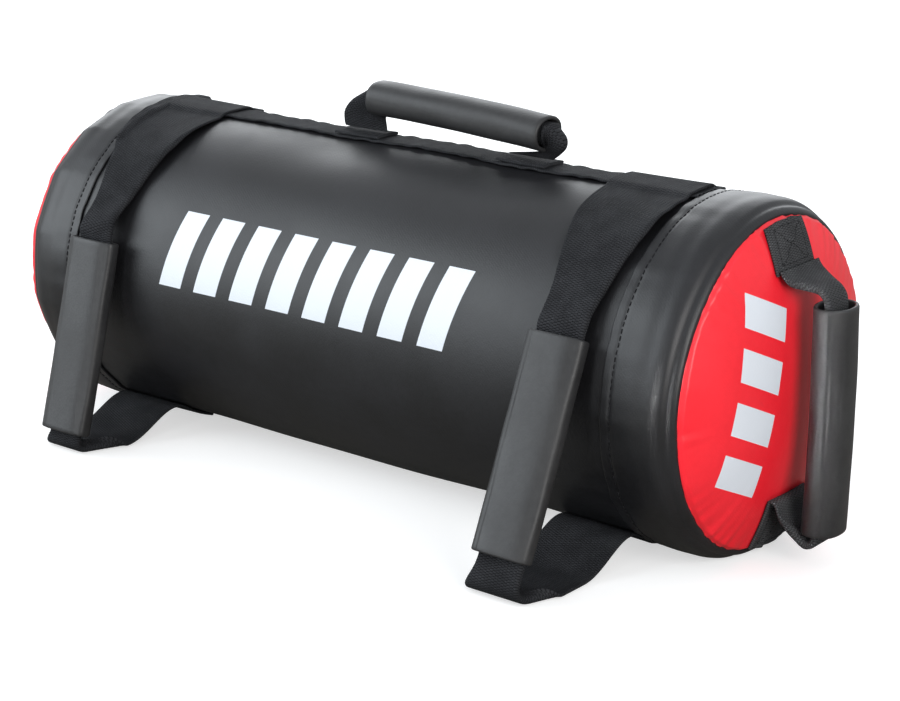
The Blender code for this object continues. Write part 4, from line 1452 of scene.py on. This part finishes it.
# Stage, lights and camera
viewLook = {
    "camera": (0.8439, -1.0401, 0.4812),
    "target": (0.0028, 0.0249, 0.0630),
    "roll": 0.341,
    "lens": 90.25,
    "sensor": 36.0,
    "nearest": 0.01,
    "farthest": 50.0,
    "floorHalf": 6.0,
    "floorGrey": (0.235, 0.220, 0.195, 1.0),
    "floorSeen": (0.62, 0.62, 0.62, 1.0),
    "floorGlow": 0.55,
    "sky": (0.92, 0.96, 1.0, 1.0),
    "skyStrength": 0.7,
}
# Each light: its place, width and height, power, colour, what it points at, and its spread
bagMiddle, rightEnd, endGrip = (0.0, 0.0, 0.1), (0.25, 0, 0.1), (0.335, 0, 0.09)
lightLook = {
    "window": ((-1.55, -1.40, 0.95), (1.9, 1.8), 38.0, (0.88, 0.95, 1.0), bagMiddle, 180.0),
    "back_light": ((-1.25, 1.45, 0.95), (2.2, 1.3), 28.0, (0.94, 0.97, 1.0), bagMiddle, 180.0),
    "end_light": ((1.85, -0.85, 0.85), (1.0, 1.4), 27.0, (1.0, 0.98, 0.96), rightEnd, 180.0),
    "low_light": ((0.10, -2.2, 0.24), (0.40, 0.45), 8.0, (0.95, 0.98, 1.0), rightEnd, 180.0),
    "grip_light": ((0.04, -1.17, 0.04), (0.03, 0.25), 0.16, (0.96, 0.98, 1.0), endGrip, 8.0),
}


def makeFloor():
    # Pale for the eye, greyer for what the bag mirrors, so that its underside stays dark
    half = viewLook["floorHalf"]
    mesh = bpy.data.meshes.new("floor")
    corners = [(-half, -half, 0), (half, -half, 0), (half, half, 0), (-half, half, 0)]
    mesh.from_pydata(corners, [], [(0, 1, 2, 3)])
    material, tree, shader = newMaterial("pale_floor", 0.9)
    shader["Base Color"].default_value = viewLook["floorGrey"]
    seenLook = {
        "Roughness": 0.9,
        "Base Color": viewLook["floorSeen"],
        "Emission Color": (1, 1, 1, 1),
        "Emission Strength": viewLook["floorGlow"],
    }
    seen = addNode(tree, "BsdfPrincipled", None, seenLook).outputs[0]
    toEye = addNode(tree, "LightPath").outputs["Is Camera Ray"]
    mirrored = tree.nodes["Principled BSDF"].outputs[0]
    both = addNode(tree, "MixShader", None, {0: toEye, 1: mirrored, 2: seen})
    tree.links.new(both.outputs[0], tree.nodes["Material Output"].inputs["Surface"])
    mesh.materials.append(material)
    floor = bpy.data.objects.new("floor", mesh)
    bpy.context.scene.collection.objects.link(floor)


def aimed(made, place, target):
    made.location = place
    made.rotation_euler = (Vector(target) - Vector(place)).to_track_quat("-Z", "Y").to_euler()
    bpy.context.scene.collection.objects.link(made)
    return made


def softLight(name, place, size, power, colour, target, spread):
    light = bpy.data.lights.new(name, "AREA")
    light.shape = "RECTANGLE"
    light.size, light.size_y = size
    light.energy = power
    light.color = colour
    light.spread = math.radians(spread)
    aimed(bpy.data.objects.new(name, light), place, target)


def makeStudio():
    makeFloor()
    world = bpy.data.worlds.new("studio")
    world.use_nodes = True
    background = world.node_tree.nodes["Background"]
    background.inputs["Color"].default_value = viewLook["sky"]
    background.inputs["Strength"].default_value = viewLook["skyStrength"]
    bpy.context.scene.world = world
    for name, look in lightLook.items():
        softLight(name, *look)
    camera = bpy.data.cameras.new("camera")
    camera.lens = viewLook["lens"]
    camera.sensor_width = viewLook["sensor"]
    camera.clip_start = viewLook["nearest"]
    camera.clip_end = viewLook["farthest"]
    made = aimed(bpy.data.objects.new("camera", camera), viewLook["camera"], viewLook["target"])
    made.rotation_euler.rotate_axis("Z", math.radians(viewLook["roll"]))
    bpy.context.scene.camera = made
    bpy.context.scene.view_settings.view_transform = "Standard"


makeStudio()
